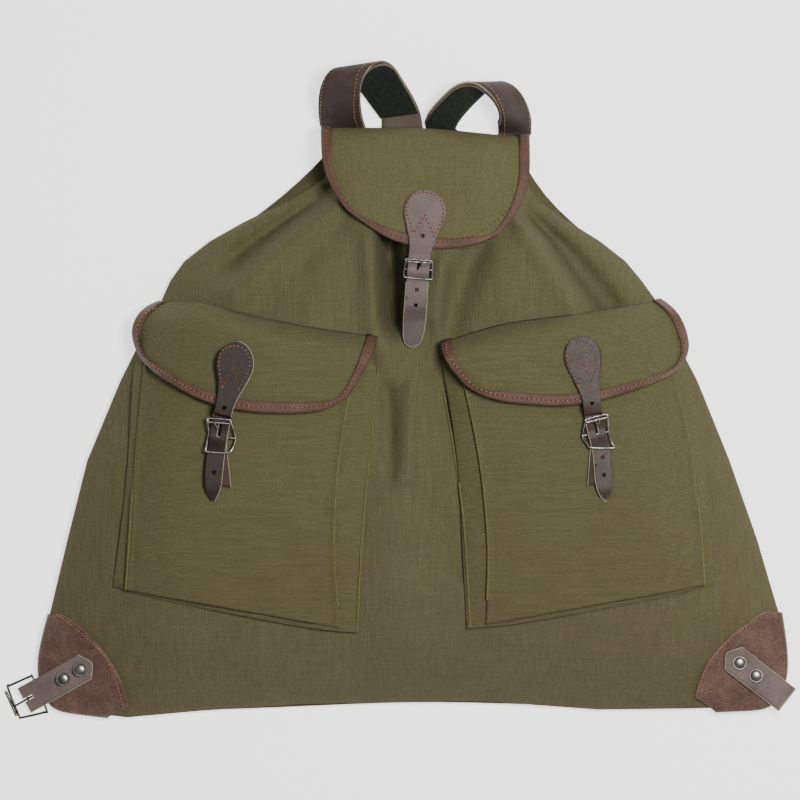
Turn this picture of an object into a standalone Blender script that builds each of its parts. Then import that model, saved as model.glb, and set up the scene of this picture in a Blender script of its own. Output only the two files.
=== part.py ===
"""Canvas rucksack with leather trim, lying on its back on a flat surface.

The bag is a gathered canvas sack with a lid, two front pockets with flaps, three
buckled leather straps, leather corner patches and two felt-lined shoulder straps.
X runs across the bag, Y from its bottom seam to its mouth, Z up from the surface.
Sizes are in millimetres here and become metres where the meshes are made.
"""

import math

import bpy
import bmesh
import numpy as np
from mathutils import Vector
from mathutils.bvhtree import BVHTree

MM = 0.001

# Driving sizes of the materials.
CANVAS = 1.6
FLAP_CANVAS = 1.4
BINDING = 1.0
BINDING_WIDTH = 8.0
BINDING_GAP = 0.95
TRIM_LEATHER = 1.4
STRAP_LEATHER = 2.0
FELT = 2.0
SEAM_GAP = 0.4
LAYER_GAP = 0.3

# Levels of the bag above the surface that it lies on.
BACK_LOW = 5.3
BACK_TOP = BACK_LOW + CANVAS
CORNER_REACH = 75.0
# Each corner's x, y and rise.
CORNERS = ((-318, -286, 1.0), (341, -285, 5.9))
SIDE_ROUND = 125.0
BOTTOM_ROUND = 105.0
BULGE_POWER = 0.8
CORNER_FLAT = 0.45
CORNER_SPREAD = 95.0
BAG_BOTTOM = -290.0
MOUTH = 214.0
BACK_EDGE = 222.0
FRONT_ROWS = 25
FRONT_COLUMNS = 21

# The sack from its bottom seam to its mouth: the side seams and the height of the front.
BAG_COLUMNS = ("y", "left", "right", "crown")
BAG = (
    (-298, -302, 322, 62),
    (-290, -311, 331, 62),
    (-279, -320, 341, 62),
    (-262, -327, 349, 62),
    (-240, -326, 349, 62),
    (-209, -318, 344, 63),
    (-137, -301, 323, 64),
    (-65, -283, 298, 64),
    (7, -253, 269, 63),
    (43, -235, 250, 62),
    (79, -216, 232, 61),
    (97, -208, 219, 60),
    (115, -195, 204, 58),
    (133, -172, 181, 56),
    (151, -140, 152, 54),
    (169, -102, 126, 51),
    (190, -68, 112, 47),
    (214, -63, 106, 43),
    (230, -63, 106, 42),
)

# The bottom seam sags a little between the corners.
BOTTOM_COLUMNS = ("x", "y")
BOTTOM = (
    (-311, -290),
    (-247, -298),
    (-180, -292),
    (-90, -286),
    (70, -283),
    (180, -291),
    (255, -290),
    (331, -288),
)

# Ridges (height above zero) and valleys (below) that gather the canvas to the mouth:
# where each starts (x, y) and ends (x, y), its width and its height.
FOLDS = (
    (-57, 166, -147, 87, 15, 6),
    (-63, 178, -140, 111, 13, -7),
    (104, 156, 158, 75, 15, 6),
    (120, 150, 174, 72, 13, -7),
    (-4, 130, -3, 60, 13, -20),
    (-26, 128, -12, 30, 12, 4),
    (38, 108, 7, -2, 11, 7),
    (8, 0, 4, -74, 11, 5),
    (68, 122, 40, 54, 17, -13),
    (-11, -5, -8, -65, 9, -4),
    (24, 48, 39, -18, 10, -4),
    (-40, 196, -56, 150, 10, -5),
    (2, 205, -8, 150, 9, 4),
    (60, 205, 66, 140, 10, 4),
    (85, 200, 96, 150, 10, -5),
)

# The lid from its sewn edge, round the fold behind the mouth, to its front edge, as y and z.
LID_PROFILE = (
    (217.0, BACK_TOP + 0.5),
    (225.0, BACK_TOP + 1.1),
    (231.0, 12.0),
    (234.6, 21.0),
    (235.0, 34.0),
    (232.0, 46.0),
    (224.0, 55.0),
    (210.0, 60.0),
    (185.0, 63.5),
    (160.0, 64.2),
    (138.0, 63.2),
    (118.0, 60.8),
)
LID_LEFT = ((-70, 214), (-67, 194), (-58, 174), (-47, 159))
LID_FRONT = ((-47, 159), (-24, 142), (-7, 133), (9, 128.5), (31, 126), (51, 128.5), (71, 134), (86, 143))
LID_RIGHT = ((86, 143), (97, 154), (106, 168), (113, 184), (116, 204), (116, 216))
LID_DROOP = 11.0
LID_CREST_DROP = 8.0

# The pocket fronts: rows of left and right edge points from the bottom up, and how far
# the panel stands off the bag. The gusset folds out to the rear points.
POCKET_COLUMNS = ("lx", "ly", "rx", "ry", "stand", "rear_lx", "rear_ly", "rear_rx", "rear_ry")
POCKETS = {
    "left": (
        (-246, -181, -54, -215, 10, -257, -178, -39, -219),
        (-242, -125, -59, -150, 15, -250, -130, -33, -152),
        (-238, -60, -57, -85, 17, -243, -64, -31, -88),
        (-232, 10, -48, -18, 15, -240, 8, -25, -20),
        (-227, 54, -38, 26, 9, -236, 52, -20, 26),
    ),
    "right": (
        (77, -212, 273, -177, 10, 61, -215, 282, -176),
        (79, -145, 269, -120, 15, 57, -148, 277, -118),
        (73, -75, 263, -55, 17, 54, -78, 273, -52),
        (62, -15, 249, 8, 15, 46, -18, 261, 12),
        (52, 24, 234, 55, 9, 38, 26, 246, 56),
    ),
}

# The pocket flaps as four border curves each, left to right and top to bottom.
FLAPS = {
    "left": {
        "top": ((-218, 78), (-184, 79), (-140, 68), (-83, 56), (-51, 51), (-20, 46)),
        "left": ((-218, 78), (-230, 72), (-239, 60), (-241, 46), (-235, 29)),
        "front": ((-235, 29), (-220, 14), (-180, -9), (-146, -19), (-99, -22), (-62, -18), (-48, -9)),
        "right": ((-20, 46), (-25, 32), (-33, 14), (-48, -9)),
    },
    "right": {
        "top": ((37, 41), (90, 58), (144, 66), (202, 74), (235, 80)),
        "left": ((37, 41), (38, 32), (45, 19), (60, 1)),
        "front": ((60, 1), (81, -9), (117, -14), (153, -15), (202, -4), (248, 14)),
        "right": ((235, 80), (249, 69), (257, 52), (260, 32), (248, 14)),
    },
}
FLAP_SEAT = 2.5
FLAP_LIFT = 25.0
FLAP_RISE = 20.0
FLAP_DROOP = 4.0

# The three closing straps: a sewn round head, a narrow tongue, and a frame buckle with
# two windows that the tongue weaves through. Each row is x, y and half the width there,
# and the holes are given by their y.
CLOSINGS = {
    "lid": {
        "rows": (
            (22, 177.5, 4), (22, 172, 15), (22.5, 159, 20), (21, 145, 16), (19, 127, 10),
            (18, 122, 10), (16.5, 106, 9.9), (15, 90, 9.9), (13, 60, 9.9), (11, 42, 8), (10.5, 36.5, 2.5),
        ),
        "buckle": (16.5, 106.0),
        "arms": (11.0, 11.0),
        "frame_way": (-0.095, -0.995),
        "frame_width": 26.6,
        "counter_end": (15.0, 78.0),
        "counter_half": 8.0,
        "holes": (136.0, 88.0, 74.0),
        "slope": 1.3,
    },
    "left": {
        "rows": (
            (-148, 40.5, 4), (-147, 35, 13), (-147.5, 21, 17.5), (-150, 6, 13), (-154.5, -9, 8.6),
            (-159, -26, 8.1), (-162, -42.5, 8), (-164.5, -58, 8), (-166.8, -80, 8), (-167.2, -91, 7),
            (-167, -101, 1.5),
        ),
        "buckle": (-162.0, -43.0),
        "arms": (15.0, 14.5),
        "frame_way": (-0.10, -0.995),
        "frame_width": 23.6,
        "counter_end": (-158.0, -88.0),
        "counter_half": 7.0,
        "holes": (-18.0, -76.0),
        "slope": 0.9,
    },
    "right": {
        "rows": (
            (161.5, 46, 4), (162, 41, 13), (163, 28, 17.5), (166, 12, 13), (170.5, -7, 8.6),
            (172, -20, 8.1), (176, -40, 8), (180, -56, 8), (182, -78, 8), (183, -91, 7),
            (183.5, -101, 1.5),
        ),
        "buckle": (176.5, -40.5),
        "arms": (14.0, 13.5),
        "frame_way": (0.196, -0.981),
        "frame_width": 23.6,
        "counter_end": (174.5, -86.0),
        "counter_half": 7.0,
        "holes": (-14.0, -62.0, -78.0),
        "slope": 0.9,
    },
}
WIRE = 1.1
WRAP = 2.05
SLOT_HALF = 1.4
COUNTER_SLOT_HALF = 1.8
PRONG = 0.8
STRAP_REST = 0.6
STRAP_STEP = 8.5
COUNTER_LEATHER = 1.3
HOLE_LENGTH = 3.0

# The leather patches that wrap the bottom corners: each row is a point (x, y) on the
# bag's edge and the matching point (x, y) of the patch's inner arc.
PATCHES = {
    "left": (
        (-317, -205, -306, -204), (-322, -224, -291, -213), (-326.5, -244, -277, -226),
        (-326, -264, -266, -239), (-320, -280.5, -258, -251), (-311.8, -291, -252, -263),
        (-290, -293.8, -248, -275), (-264, -297, -246, -287),
    ),
    "right": (
        (344, -203, 333, -201), (347, -223, 318, -206), (349.5, -244, 303, -218),
        (348.5, -264, 290, -230), (341, -280, 281, -241), (332, -289.5, 273, -253),
        (308, -290.5, 269, -266), (285, -291.5, 266, -279),
    ),
}

# The corner tabs: inner point, direction outwards, and what lies along it.
TAB_HALF = 12.5
TAB_TIP_HALF = 1.5
TAB_LEATHER = 1.6
TAB_SHOULDER = 8.0
TABS = {
    "left": {"tip": (-277.5, -247.5), "way": (-0.8716, -0.4902), "bar": 68.3, "rivets": (13.2, 30.7)},
    "right": {"tip": (294.0, -238.5), "way": (0.79, -0.613), "bar": 50.0, "rivets": (14.9, 34.1)},
}
RIVET_RADIUS = 5.6
RIVET_HEIGHT = 1.8
RIVET_SIDES = 9

# The left corner's open buckle hangs on a hinge bar: the two arms of its frame.
HINGE_HEIGHT = 5.2
HINGE_WIRE = 1.4
HINGE_WRAP = 2.35
HINGE_PRONG = 0.9
HINGE_WIDTH = 32.0
INNER_ARM = 9.0
OUTER_ARM = 16.0
REST_TILT = math.asin((HINGE_HEIGHT - HINGE_WIRE - 0.1) / (OUTER_ARM + HINGE_WIRE))
# The right corner's buckle lies folded away flat below the bag.
HIDDEN_BAR = 3.6
HIDDEN_WRAP = 1.9
HIDDEN_WIDTH = 30.0

# The shoulder straps from their buckle end under the bag, over the arch behind the
# mouth, to the end that is sewn to the back. Each row is x, y, z, the turn and tilt, in
# degrees, of the strap's width, and half that width.
SHOULDERS = {
    "left": (
        (-206, -72, 2.5, -27.7, 0, 20), (-132, 68, 2.5, -27.7, 0, 20), (-79, 146, 2.5, -27, 0, 20),
        (-50, 182, 2.5, -18, 0, 20), (-46.5, 205, 2.5, -3, 0, 20), (-48.5, 227, 2.5, 0, 0, 20),
        (-51.5, 236, 7, 0, 8, 20), (-53.2, 242, 14.5, 0, 15, 20), (-54.5, 252, 26, 1, 21, 20),
        (-54.2, 266, 40, 4, 23, 20), (-51, 277.5, 47, 7, 21, 20), (-44.5, 286, 47, 8, 16, 20),
        (-35.6, 290, 38, 8, 12, 20), (-28, 286.5, 27, 14, 16, 20), (-20, 278.5, 19, 26, 24, 20),
        (-12.2, 267, 15, 31, 30, 20), (-5, 256.5, 14, 22, 31, 20), (0, 246.6, 12, 6, 27, 19.5),
        (1.5, 237, 8, 0, 14, 19), (2, 225, 2.5, 0, 0, 20), (2, 212, 2.5, 0, 0, 20),
    ),
    "right": (
        (236, -72, 2.5, 25, 0, 20), (158, 68, 2.5, 27, 0, 20), (110, 145, 2.5, 29, 0, 20),
        (92, 176, 2.5, 22, 0, 20), (88, 198, 2.5, 4, 0, 20), (91, 212, 2.5, -6, 0, 20),
        (94, 220, 2.5, -7, 0, 20), (97, 228, 2.5, -8, 0, 19.5), (101.5, 234.5, 8, -5, -15, 18),
        (103.5, 238, 17, -1, -33, 17.5), (104, 244, 27, 2, -42, 18.5), (102, 251, 36, 5, -45, 18.5),
        (98, 259, 43, 10, -46, 18.5), (90.5, 267.5, 48, 14, -48, 18.5), (81, 273, 45, 10, -52, 18.5),
        (73, 273.5, 38, 0, -54, 18), (64.5, 269.5, 31, -16, -54, 18), (56.5, 263.5, 26, -30, -53, 18),
        (49, 256, 23, -36, -52, 18), (41.5, 247.5, 20, -34, -49, 18), (37.5, 241, 16.5, -24, -42, 17.5),
        (38, 234.5, 10.5, -12, -24, 17.5), (43, 227, 3.6, -4, -4, 18.5), (46.5, 218, 2.5, 0, 0, 20),
        (47, 209, 2.5, 0, 0, 20),
    ),
}
LYING_ROW = 3
LYING_STATIONS = 7
LOOP_STATIONS = 31
SHOULDER_GAP = 0.9
LEATHER_BARE = {"left": (46.0, 37.0), "right": (46.0, 22.0)}
LOWER_HALF = 12.5
LOWER_TIP_HALF = 3.0
LOWER_LEATHER = 2.5
LOWER_LENGTH = {"left": 190.0, "right": 165.0}

COLOURS = {
    "canvas": (0.130, 0.118, 0.052, 1.0),
    "binding": (0.190, 0.090, 0.060, 1.0),
    "strap_leather": (0.075, 0.045, 0.038, 1.0),
    "patch_leather": (0.140, 0.060, 0.042, 1.0),
    "felt": (0.015, 0.018, 0.013, 1.0),
    "metal": (0.230, 0.225, 0.215, 1.0),
}
ROUGHNESS = {
    "canvas": 0.9, "binding": 0.6, "strap_leather": 0.5,
    "patch_leather": 0.55, "felt": 1.0, "metal": 0.35,
}


def clear_scene():
    """Remove every object, so that the file starts empty."""
    for old in list(bpy.data.objects):
        bpy.data.objects.remove(old, do_unlink=True)


def finish_of(kind):
    """Give the named finish, making its material when it is first asked for."""
    found = bpy.data.materials.get(kind)
    if found:
        return found
    finish = bpy.data.materials.new(kind)
    finish.use_nodes = True
    shader = finish.node_tree.nodes["Principled BSDF"]
    shader.inputs["Base Color"].default_value = COLOURS[kind]
    shader.inputs["Roughness"].default_value = ROUGHNESS[kind]
    shader.inputs["Metallic"].default_value = 1.0 if kind == "metal" else 0.0
    return finish


def column(table, names, name):
    """One named column of a table as an array."""
    place = names.index(name)
    return np.array([row[place] for row in table], float)


def look_up(table, names, key, name, at):
    """Read a named column of a table at the given values of its key column."""
    return np.interp(at, column(table, names, key), column(table, names, name))


def smooth_step(t):
    """A soft ramp from 0 to 1."""
    t = np.clip(t, 0.0, 1.0)
    return t * t * (3.0 - 2.0 * t)


def smooth_curve(points, count):
    """Evenly spaced points on a smooth curve through the given ones."""
    points = np.asarray(points, float)
    ends = np.vstack([2 * points[0] - points[1], points, 2 * points[-1] - points[-2]])
    dense = []
    for k in range(len(points) - 1):
        a, b, c, d = ends[k:k + 4]
        for t in np.linspace(0.0, 1.0, 16, endpoint=False):
            dense.append(0.5 * (2 * b + (c - a) * t + (2 * a - 5 * b + 4 * c - d) * t * t
                                + (3 * b - a - 3 * c + d) * t ** 3))
    dense.append(points[-1])
    dense = np.array(dense)
    run = np.concatenate([[0.0], np.cumsum(np.linalg.norm(np.diff(dense[:, :3], axis=0), axis=1))])
    at = np.linspace(0.0, run[-1], count)
    return np.column_stack([np.interp(at, run, dense[:, k]) for k in range(dense.shape[1])])


def border_patch(front, top, left, right):
    """Fill four border curves with a grid; rows run from front to top."""
    rows, cols = len(left), len(front)
    u = np.linspace(0.0, 1.0, cols)[None, :, None]
    v = np.linspace(0.0, 1.0, rows)[:, None, None]
    sides = (1 - u) * left[:, None, :] + u * right[:, None, :]
    ends = (1 - v) * front[None, :, :] + v * top[None, :, :]
    corners = ((1 - u) * (1 - v) * front[0] + u * (1 - v) * front[-1]
               + (1 - u) * v * top[0] + u * v * top[-1])
    return sides + ends - corners


def normals_of(grid):
    """Unit normals of a grid of points, from its own rows and columns."""
    along = np.gradient(grid, axis=0)
    across = np.gradient(grid, axis=1)
    facing = np.cross(across, along)
    return facing / np.linalg.norm(facing, axis=2, keepdims=True)


SURFACES = {}


def add_body(name, bm, finish):
    """Turn a closed bmesh in millimetres into a named object in metres."""
    loose = [v for v in bm.verts if not v.link_faces]
    bmesh.ops.delete(bm, geom=loose, context="VERTS")
    bmesh.ops.recalc_face_normals(bm, faces=bm.faces[:])
    SURFACES[name] = BVHTree.FromBMesh(bm)
    bmesh.ops.scale(bm, vec=Vector((MM, MM, MM)), verts=bm.verts[:])
    mesh = bpy.data.meshes.new(name)
    bm.to_mesh(mesh)
    bm.free()
    mesh.materials.append(finish_of(finish))
    body = bpy.data.objects.new(name, mesh)
    bpy.context.scene.collection.objects.link(body)
    return body


def height_at(names, x, y):
    """Highest point of the named bodies above a place, looking straight down."""
    best = 0.0
    for name in names:
        hit = SURFACES[name].ray_cast(Vector((x, y, 400.0)), Vector((0.0, 0.0, -1.0)))
        if hit[0] is not None:
            best = max(best, hit[0].z)
    return best


def high_spot(names, x, y, reach):
    """Highest point of the named bodies at a place and a little way round it."""
    around = ((0, 0), (1, 0), (-1, 0), (0, 1), (0, -1))
    return max(height_at(names, x + dx * reach, y + dy * reach) for dx, dy in around)


def shell(name, outer, inner, finish, slots=()):
    """Close two grids of points into one walled body; slots are cells left out."""
    rows, cols = outer.shape[:2]
    bm = bmesh.new()
    top = [[bm.verts.new(outer[i, j]) for j in range(cols)] for i in range(rows)]
    low = [[bm.verts.new(inner[i, j]) for j in range(cols)] for i in range(rows)]
    rim = set()
    for i in range(rows - 1):
        for j in range(cols - 1):
            if (i, j) in slots:
                continue
            cell = [(i, j), (i, j + 1), (i + 1, j + 1), (i + 1, j)]
            for half in ((0, 1, 2), (0, 2, 3)):
                bm.faces.new([top[cell[k][0]][cell[k][1]] for k in half])
                bm.faces.new([low[cell[k][0]][cell[k][1]] for k in reversed(half)])
            for a, b in zip(cell, cell[1:] + cell[:1]):
                if (b, a) in rim:
                    rim.remove((b, a))
                else:
                    rim.add((a, b))
    for a, b in sorted(rim):
        bm.faces.new([top[b[0]][b[1]], top[a[0]][a[1]], low[a[0]][a[1]], low[b[0]][b[1]]])
    return add_body(name, bm, finish)


def sheet(name, outer, wall, finish, floor=None, slots=()):
    """A cloth or leather wall behind its outer face."""
    inner = outer - wall * normals_of(outer)
    if floor is not None:
        inner[..., 2] = np.maximum(inner[..., 2], floor)
    return shell(name, outer, inner, finish, slots)


def tube(name, path, radius, finish, sides=6):
    """A round wire along a path, with closed ends."""
    path = np.asarray(path, float)
    run = np.gradient(path, axis=0)
    run /= np.linalg.norm(run, axis=1, keepdims=True)
    side = np.cross(run[0], (0.3, 0.2, 0.93))
    bm = bmesh.new()
    rings = []
    for point, way in zip(path, run):
        side = side - way * np.dot(side, way)
        side /= np.linalg.norm(side)
        other = np.cross(way, side)
        ring = []
        for n in range(sides):
            angle = 2 * math.pi * n / sides
            ring.append(bm.verts.new(point + radius * (math.cos(angle) * side + math.sin(angle) * other)))
        rings.append(ring)
    for a, b in zip(rings, rings[1:]):
        for n in range(sides):
            m = (n + 1) % sides
            bm.faces.new([a[n], a[m], b[m], b[n]])
    bm.faces.new(rings[0][::-1])
    bm.faces.new(rings[-1])
    return add_body(name, bm, finish)


def edges_at(y):
    """Left and right side seam at a height up the bag."""
    return (look_up(BAG, BAG_COLUMNS, "y", "left", y), look_up(BAG, BAG_COLUMNS, "y", "right", y))


def bottom_at(x):
    """The bottom seam's place at a distance across the bag."""
    return look_up(BOTTOM, BOTTOM_COLUMNS, "x", "y", x)


def back_rise(x, y):
    """How far the bag's back lifts off the surface near its two bottom corners."""
    rise = 0.0
    for cx, cy, most in CORNERS:
        rise = rise + most * np.exp(-((x - cx) ** 2 + (y - cy) ** 2) / CORNER_REACH ** 2)
    return rise


def fold_height(x, y):
    """The gathers: soft ridges and valleys that follow straight lines."""
    total = np.zeros(np.shape(x))
    for x0, y0, x1, y1, width, height in FOLDS:
        way = np.array([x1 - x0, y1 - y0], float)
        length = np.linalg.norm(way)
        way /= length
        along = (x - x0) * way[0] + (y - y0) * way[1]
        off = (x - x0) * way[1] - (y - y0) * way[0]
        past = np.maximum(0.0, np.maximum(-along, along - length))
        total = total + height * np.exp(-(off / width) ** 2 - (past / (1.5 * width)) ** 2)
    return total


def bag_front(x, y, folds=True):
    """Height of the bag's front above the surface."""
    x, y = np.asarray(x, float), np.asarray(y, float)
    left, right = edges_at(y)
    inside = np.clip(np.minimum(x - left, right - x), 0.0, None)
    up = np.clip(y - bottom_at(x), 0.0, None)
    side_round = np.minimum(SIDE_ROUND, 0.5 * (right - left))
    across = (1 - (1 - np.clip(inside / side_round, 0, 1)) ** 2) ** BULGE_POWER
    upward = (1 - (1 - np.clip(up / BOTTOM_ROUND, 0, 1)) ** 2) ** BULGE_POWER
    crown = look_up(BAG, BAG_COLUMNS, "y", "crown", y)
    flat = 1.0
    for cx, cy, _ in CORNERS:
        flat = flat - CORNER_FLAT * np.exp(-((x - cx) ** 2 + (y - cy) ** 2) / CORNER_SPREAD ** 2)
    seam = BACK_TOP + SEAM_GAP + CANVAS
    height = seam + (crown - seam) * across * upward * flat
    if folds:
        height = height + fold_height(x, y) * smooth_step(inside / 40.0)
    return height + back_rise(x, y)


def bag_grid():
    """Plan of the sack: rows from the bottom seam to the mouth, closer at the seams."""
    rise = np.linspace(0.0, 1.0, FRONT_ROWS) ** 1.25
    nominal = BAG_BOTTOM + (MOUTH - BAG_BOTTOM) * rise
    t = np.linspace(-1.0, 1.0, FRONT_COLUMNS)
    share = t - 0.45 * np.sin(2 * math.pi * t) / (2 * math.pi)
    left, right = edges_at(nominal)
    middle, half = (left + right) / 2, (right - left) / 2
    x = middle[:, None] + half[:, None] * share[None, :]
    sag = (bottom_at(x) - BAG_BOTTOM) * (1 - rise[:, None]) ** 3
    y = nominal[:, None] + sag
    return x, y


def make_sack():
    """The front panel with its gathers and the flat back, which meet at the seams."""
    x, y = bag_grid()
    outer = np.dstack([x, y, bag_front(x, y)])
    edge = BACK_TOP + SEAM_GAP + back_rise(x, y)
    inner = outer - CANVAS * normals_of(outer)
    inner[..., 2] = np.maximum(inner[..., 2], edge)
    shell("canvas_front", outer, inner, "canvas")

    bx, by = x[::2, ::4], y[::2, ::4]
    bx = np.vstack([bx, bx[-1:]])
    by = np.vstack([by, np.full_like(by[-1:], BACK_EDGE)])
    lift = back_rise(bx, by)
    top = np.dstack([bx, by, BACK_TOP + lift])
    low = np.dstack([bx, by, BACK_LOW + lift])
    shell("canvas_back", top, low, "canvas")


def make_binding(name, grid, wall, bare_rows=0):
    """A folded leather strip over the sides and the front edge of a flap."""
    rows, cols = grid.shape[:2]
    facing = normals_of(grid)
    walk = [(i, 0, i, 1) for i in range(rows - 1 - bare_rows, 0, -1)]
    walk.append((0, 0, 1, 1))
    walk += [(0, j, 1, j) for j in range(1, cols - 1)]
    walk.append((0, cols - 1, 1, cols - 2))
    walk += [(i, cols - 1, i, cols - 2) for i in range(1, rows - bare_rows)]
    bm = bmesh.new()
    rings = []
    near, far = BINDING_GAP, BINDING_GAP + BINDING
    for i, j, m, n in walk:
        point, normal = grid[i, j], facing[i, j]
        inward = grid[m, n] - point
        reach = np.linalg.norm(inward)
        inward = inward / reach
        near_corner = i + min(j, cols - 1 - j) < 2
        width = min(BINDING_WIDTH, reach * (0.55 if near_corner else 1.0))
        share = width / reach
        inner_normal = (1 - share) * normal + share * facing[m, n]
        inner_normal /= np.linalg.norm(inner_normal)
        inside = point + inward * width
        ring = (
            inside + inner_normal * far,
            point - inward * far + normal * far,
            point - inward * far - normal * (wall + far),
            inside - inner_normal * (wall + far),
            inside - inner_normal * (wall + near),
            point - inward * near - normal * (wall + near),
            point - inward * near + normal * near,
            inside + inner_normal * near,
        )
        rings.append([bm.verts.new(p) for p in ring])
    # Each strip is split along the same diagonal as the cloth that it covers.
    leading = (False, True, True, False, False, False, True, False)
    for place, (a, b) in enumerate(zip(rings, rings[1:])):
        on_front = walk[place][0] == 0 and walk[place + 1][0] == 0
        for n in range(8):
            m = (n + 1) % 8
            if leading[n] == on_front:
                halves = ((a[n], a[m], b[m]), (a[n], b[m], b[n]))
            else:
                halves = ((a[n], a[m], b[n]), (a[m], b[m], b[n]))
            for half in halves:
                bm.faces.new(half)
    for ring, turn in ((rings[0], 1), (rings[-1], -1)):
        for cap in ((0, 1, 6, 7), (1, 2, 5, 6), (2, 3, 4, 5)):
            bm.faces.new([ring[k] for k in cap[::turn]])
    add_body(name, bm, "binding")


def lid_curve():
    """The lid's side view as evenly spaced (y, z) points and the run along them."""
    curve = smooth_curve(LID_PROFILE, 120)
    run = np.concatenate([[0.0], np.cumsum(np.linalg.norm(np.diff(curve, axis=0), axis=1))])
    return curve, run


def lid_grid():
    """The lid in three dimensions: a flat cut piece rolled over its side view."""
    curve, run = lid_curve()
    crest = int(np.argmax(curve[:, 0]))

    def run_of(y):
        return np.interp(-np.asarray(y, float), -curve[crest:, 0], run[crest:])

    def flat(points):
        points = np.array(points, float)
        points[:, 1] = run_of(points[:, 1])
        return points

    inset = SEAM_GAP + BINDING
    left = np.vstack([[(-70, 0.0), (-71, 20.0)], flat(LID_LEFT)])
    right = np.vstack([[(115, 0.0), (116, 20.0)], flat(LID_RIGHT)[::-1]])
    left[:, 0] += inset
    right[:, 0] -= inset
    front = flat(LID_FRONT)
    front[:, 1] -= inset
    front[0], front[-1] = left[-1], right[-1]
    rows, cols = 14, 12
    cut = border_patch(
        smooth_curve(front, cols),
        np.linspace(left[0], right[0], cols),
        smooth_curve(left, rows)[::-1],
        smooth_curve(right, rows)[::-1],
    )
    x, s = cut[..., 0], cut[..., 1]
    y = np.interp(s, run, curve[:, 0])
    z = np.interp(s, run, curve[:, 1])
    over = smooth_step((s - run[crest] * 0.6) / 40.0)
    side = smooth_step((np.abs(x - 22.0) - 45.0) / 50.0)
    z = z - LID_DROOP * side * over
    y = y - LID_CREST_DROP * smooth_step((x - 10.0) / 110.0) * smooth_step(s / 30.0)
    return np.dstack([x, y, z])


def pocket_rows(side, count):
    """The pocket's table read at evenly spaced rows, as a dict of columns."""
    rows = smooth_curve(POCKETS[side], count)
    return {name: rows[:, k] for k, name in enumerate(POCKET_COLUMNS)}


def make_pocket(side):
    """One pocket: a front panel and the gusset that folds out beside it."""
    rows, cols = 8, 9
    p = pocket_rows(side, rows)
    u = np.linspace(0.0, 1.0, cols)
    x = p["lx"][:, None] * (1 - u) + p["rx"][:, None] * u
    y = p["ly"][:, None] * (1 - u) + p["ry"][:, None] * u
    edge = 1 - 0.22 * np.abs(2 * u - 1) ** 5
    z = bag_front(x, y, folds=False) + p["stand"][:, None] * edge
    panel = np.dstack([x, y, z])
    sheet(f"pocket_front_{side}", panel, FLAP_CANVAS, "canvas")

    fine = pocket_rows(side, 7)
    stand = fine["stand"]
    left = np.column_stack([fine["lx"], fine["ly"], stand, fine["rear_lx"], fine["rear_ly"]])[::-1]
    right = np.column_stack([fine["rx"], fine["ry"], stand, fine["rear_rx"], fine["rear_ry"]])
    middle = []
    for t in np.linspace(0.0, 1.0, 7)[1:-1]:
        row = (1 - t) * left[-1] + t * right[0]
        row[4] -= 3.5
        middle.append(row)
    path = np.vstack([left, middle, right])
    ahead = np.gradient(path[:, :2], axis=0)
    ahead /= np.linalg.norm(ahead, axis=1, keepdims=True)
    inward = np.column_stack([-ahead[:, 1], ahead[:, 0]])
    strip = []
    for (fx, fy, up, rx, ry), (ix, iy) in zip(path, inward):
        top = float(bag_front(fx, fy, folds=False)) + 0.78 * up
        front = (fx + 0.6 * ix, fy + 0.6 * iy)
        hem = top - FLAP_CANVAS - SEAM_GAP
        rear = high_spot(["canvas_front"], rx + 1.5 * ix, ry + 1.5 * iy, 3.0) + 4.1
        strip.append([
            (front[0] + 3 * ix, front[1] + 3 * iy, hem),
            (front[0], front[1], hem - 0.3),
            ((front[0] + rx) / 2, (front[1] + ry) / 2, (hem + rear) / 2 + 0.5),
            (rx, ry, rear),
            (rx - 1.2 * ix, ry - 1.2 * iy, rear - 1.4),
        ])
    sheet(f"pocket_gusset_{side}", np.array(strip), FLAP_CANVAS, "canvas")


def make_flap(side):
    """One pocket flap: canvas that rises off the bag and lies over the pocket."""
    curves = FLAPS[side]
    rows, cols = 7, 12
    inset = SEAM_GAP + BINDING
    plan = border_patch(
        smooth_curve(curves["front"], cols),
        smooth_curve(curves["top"], cols),
        smooth_curve(curves["left"], rows)[::-1],
        smooth_curve(curves["right"], rows)[::-1],
    )
    centre = plan.reshape(-1, 2).mean(axis=0)
    off = plan - centre
    plan = centre + off * (1 - inset / np.linalg.norm(off, axis=2, keepdims=True).clip(20))
    x, y = plan[..., 0], plan[..., 1]
    top_line = smooth_curve(curves["top"], 40)
    below = np.interp(x, top_line[:, 0], top_line[:, 1]) - y
    u = np.linspace(-1.0, 1.0, cols)[None, :]
    v = np.linspace(0.0, 1.0, rows)[:, None]
    lift = FLAP_SEAT + FLAP_CANVAS + (FLAP_LIFT - FLAP_CANVAS) * smooth_step((below + 2) / FLAP_RISE)
    droop = FLAP_DROOP * smooth_step((np.abs(u) - 0.72) / 0.28) * smooth_step(below / 30.0)
    droop = droop + 3.5 * (1 - v) ** 3
    z = bag_front(x, y, folds=False) + lift - droop
    for edge, beside in ((0, 1), (-1, -2)):
        z[0, edge] = z[0, beside] + z[1, edge] - z[1, beside]
    grid = np.dstack([x, y, z])
    sheet(f"flap_{side}", grid, FLAP_CANVAS, "canvas")
    make_binding(f"flap_binding_{side}", grid, FLAP_CANVAS)


def make_lid():
    """The lid over the mouth, with its binding on three sides."""
    grid = lid_grid()
    sheet("lid", grid, FLAP_CANVAS, "canvas")
    make_binding("lid_binding", grid, FLAP_CANVAS, bare_rows=2)


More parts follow.
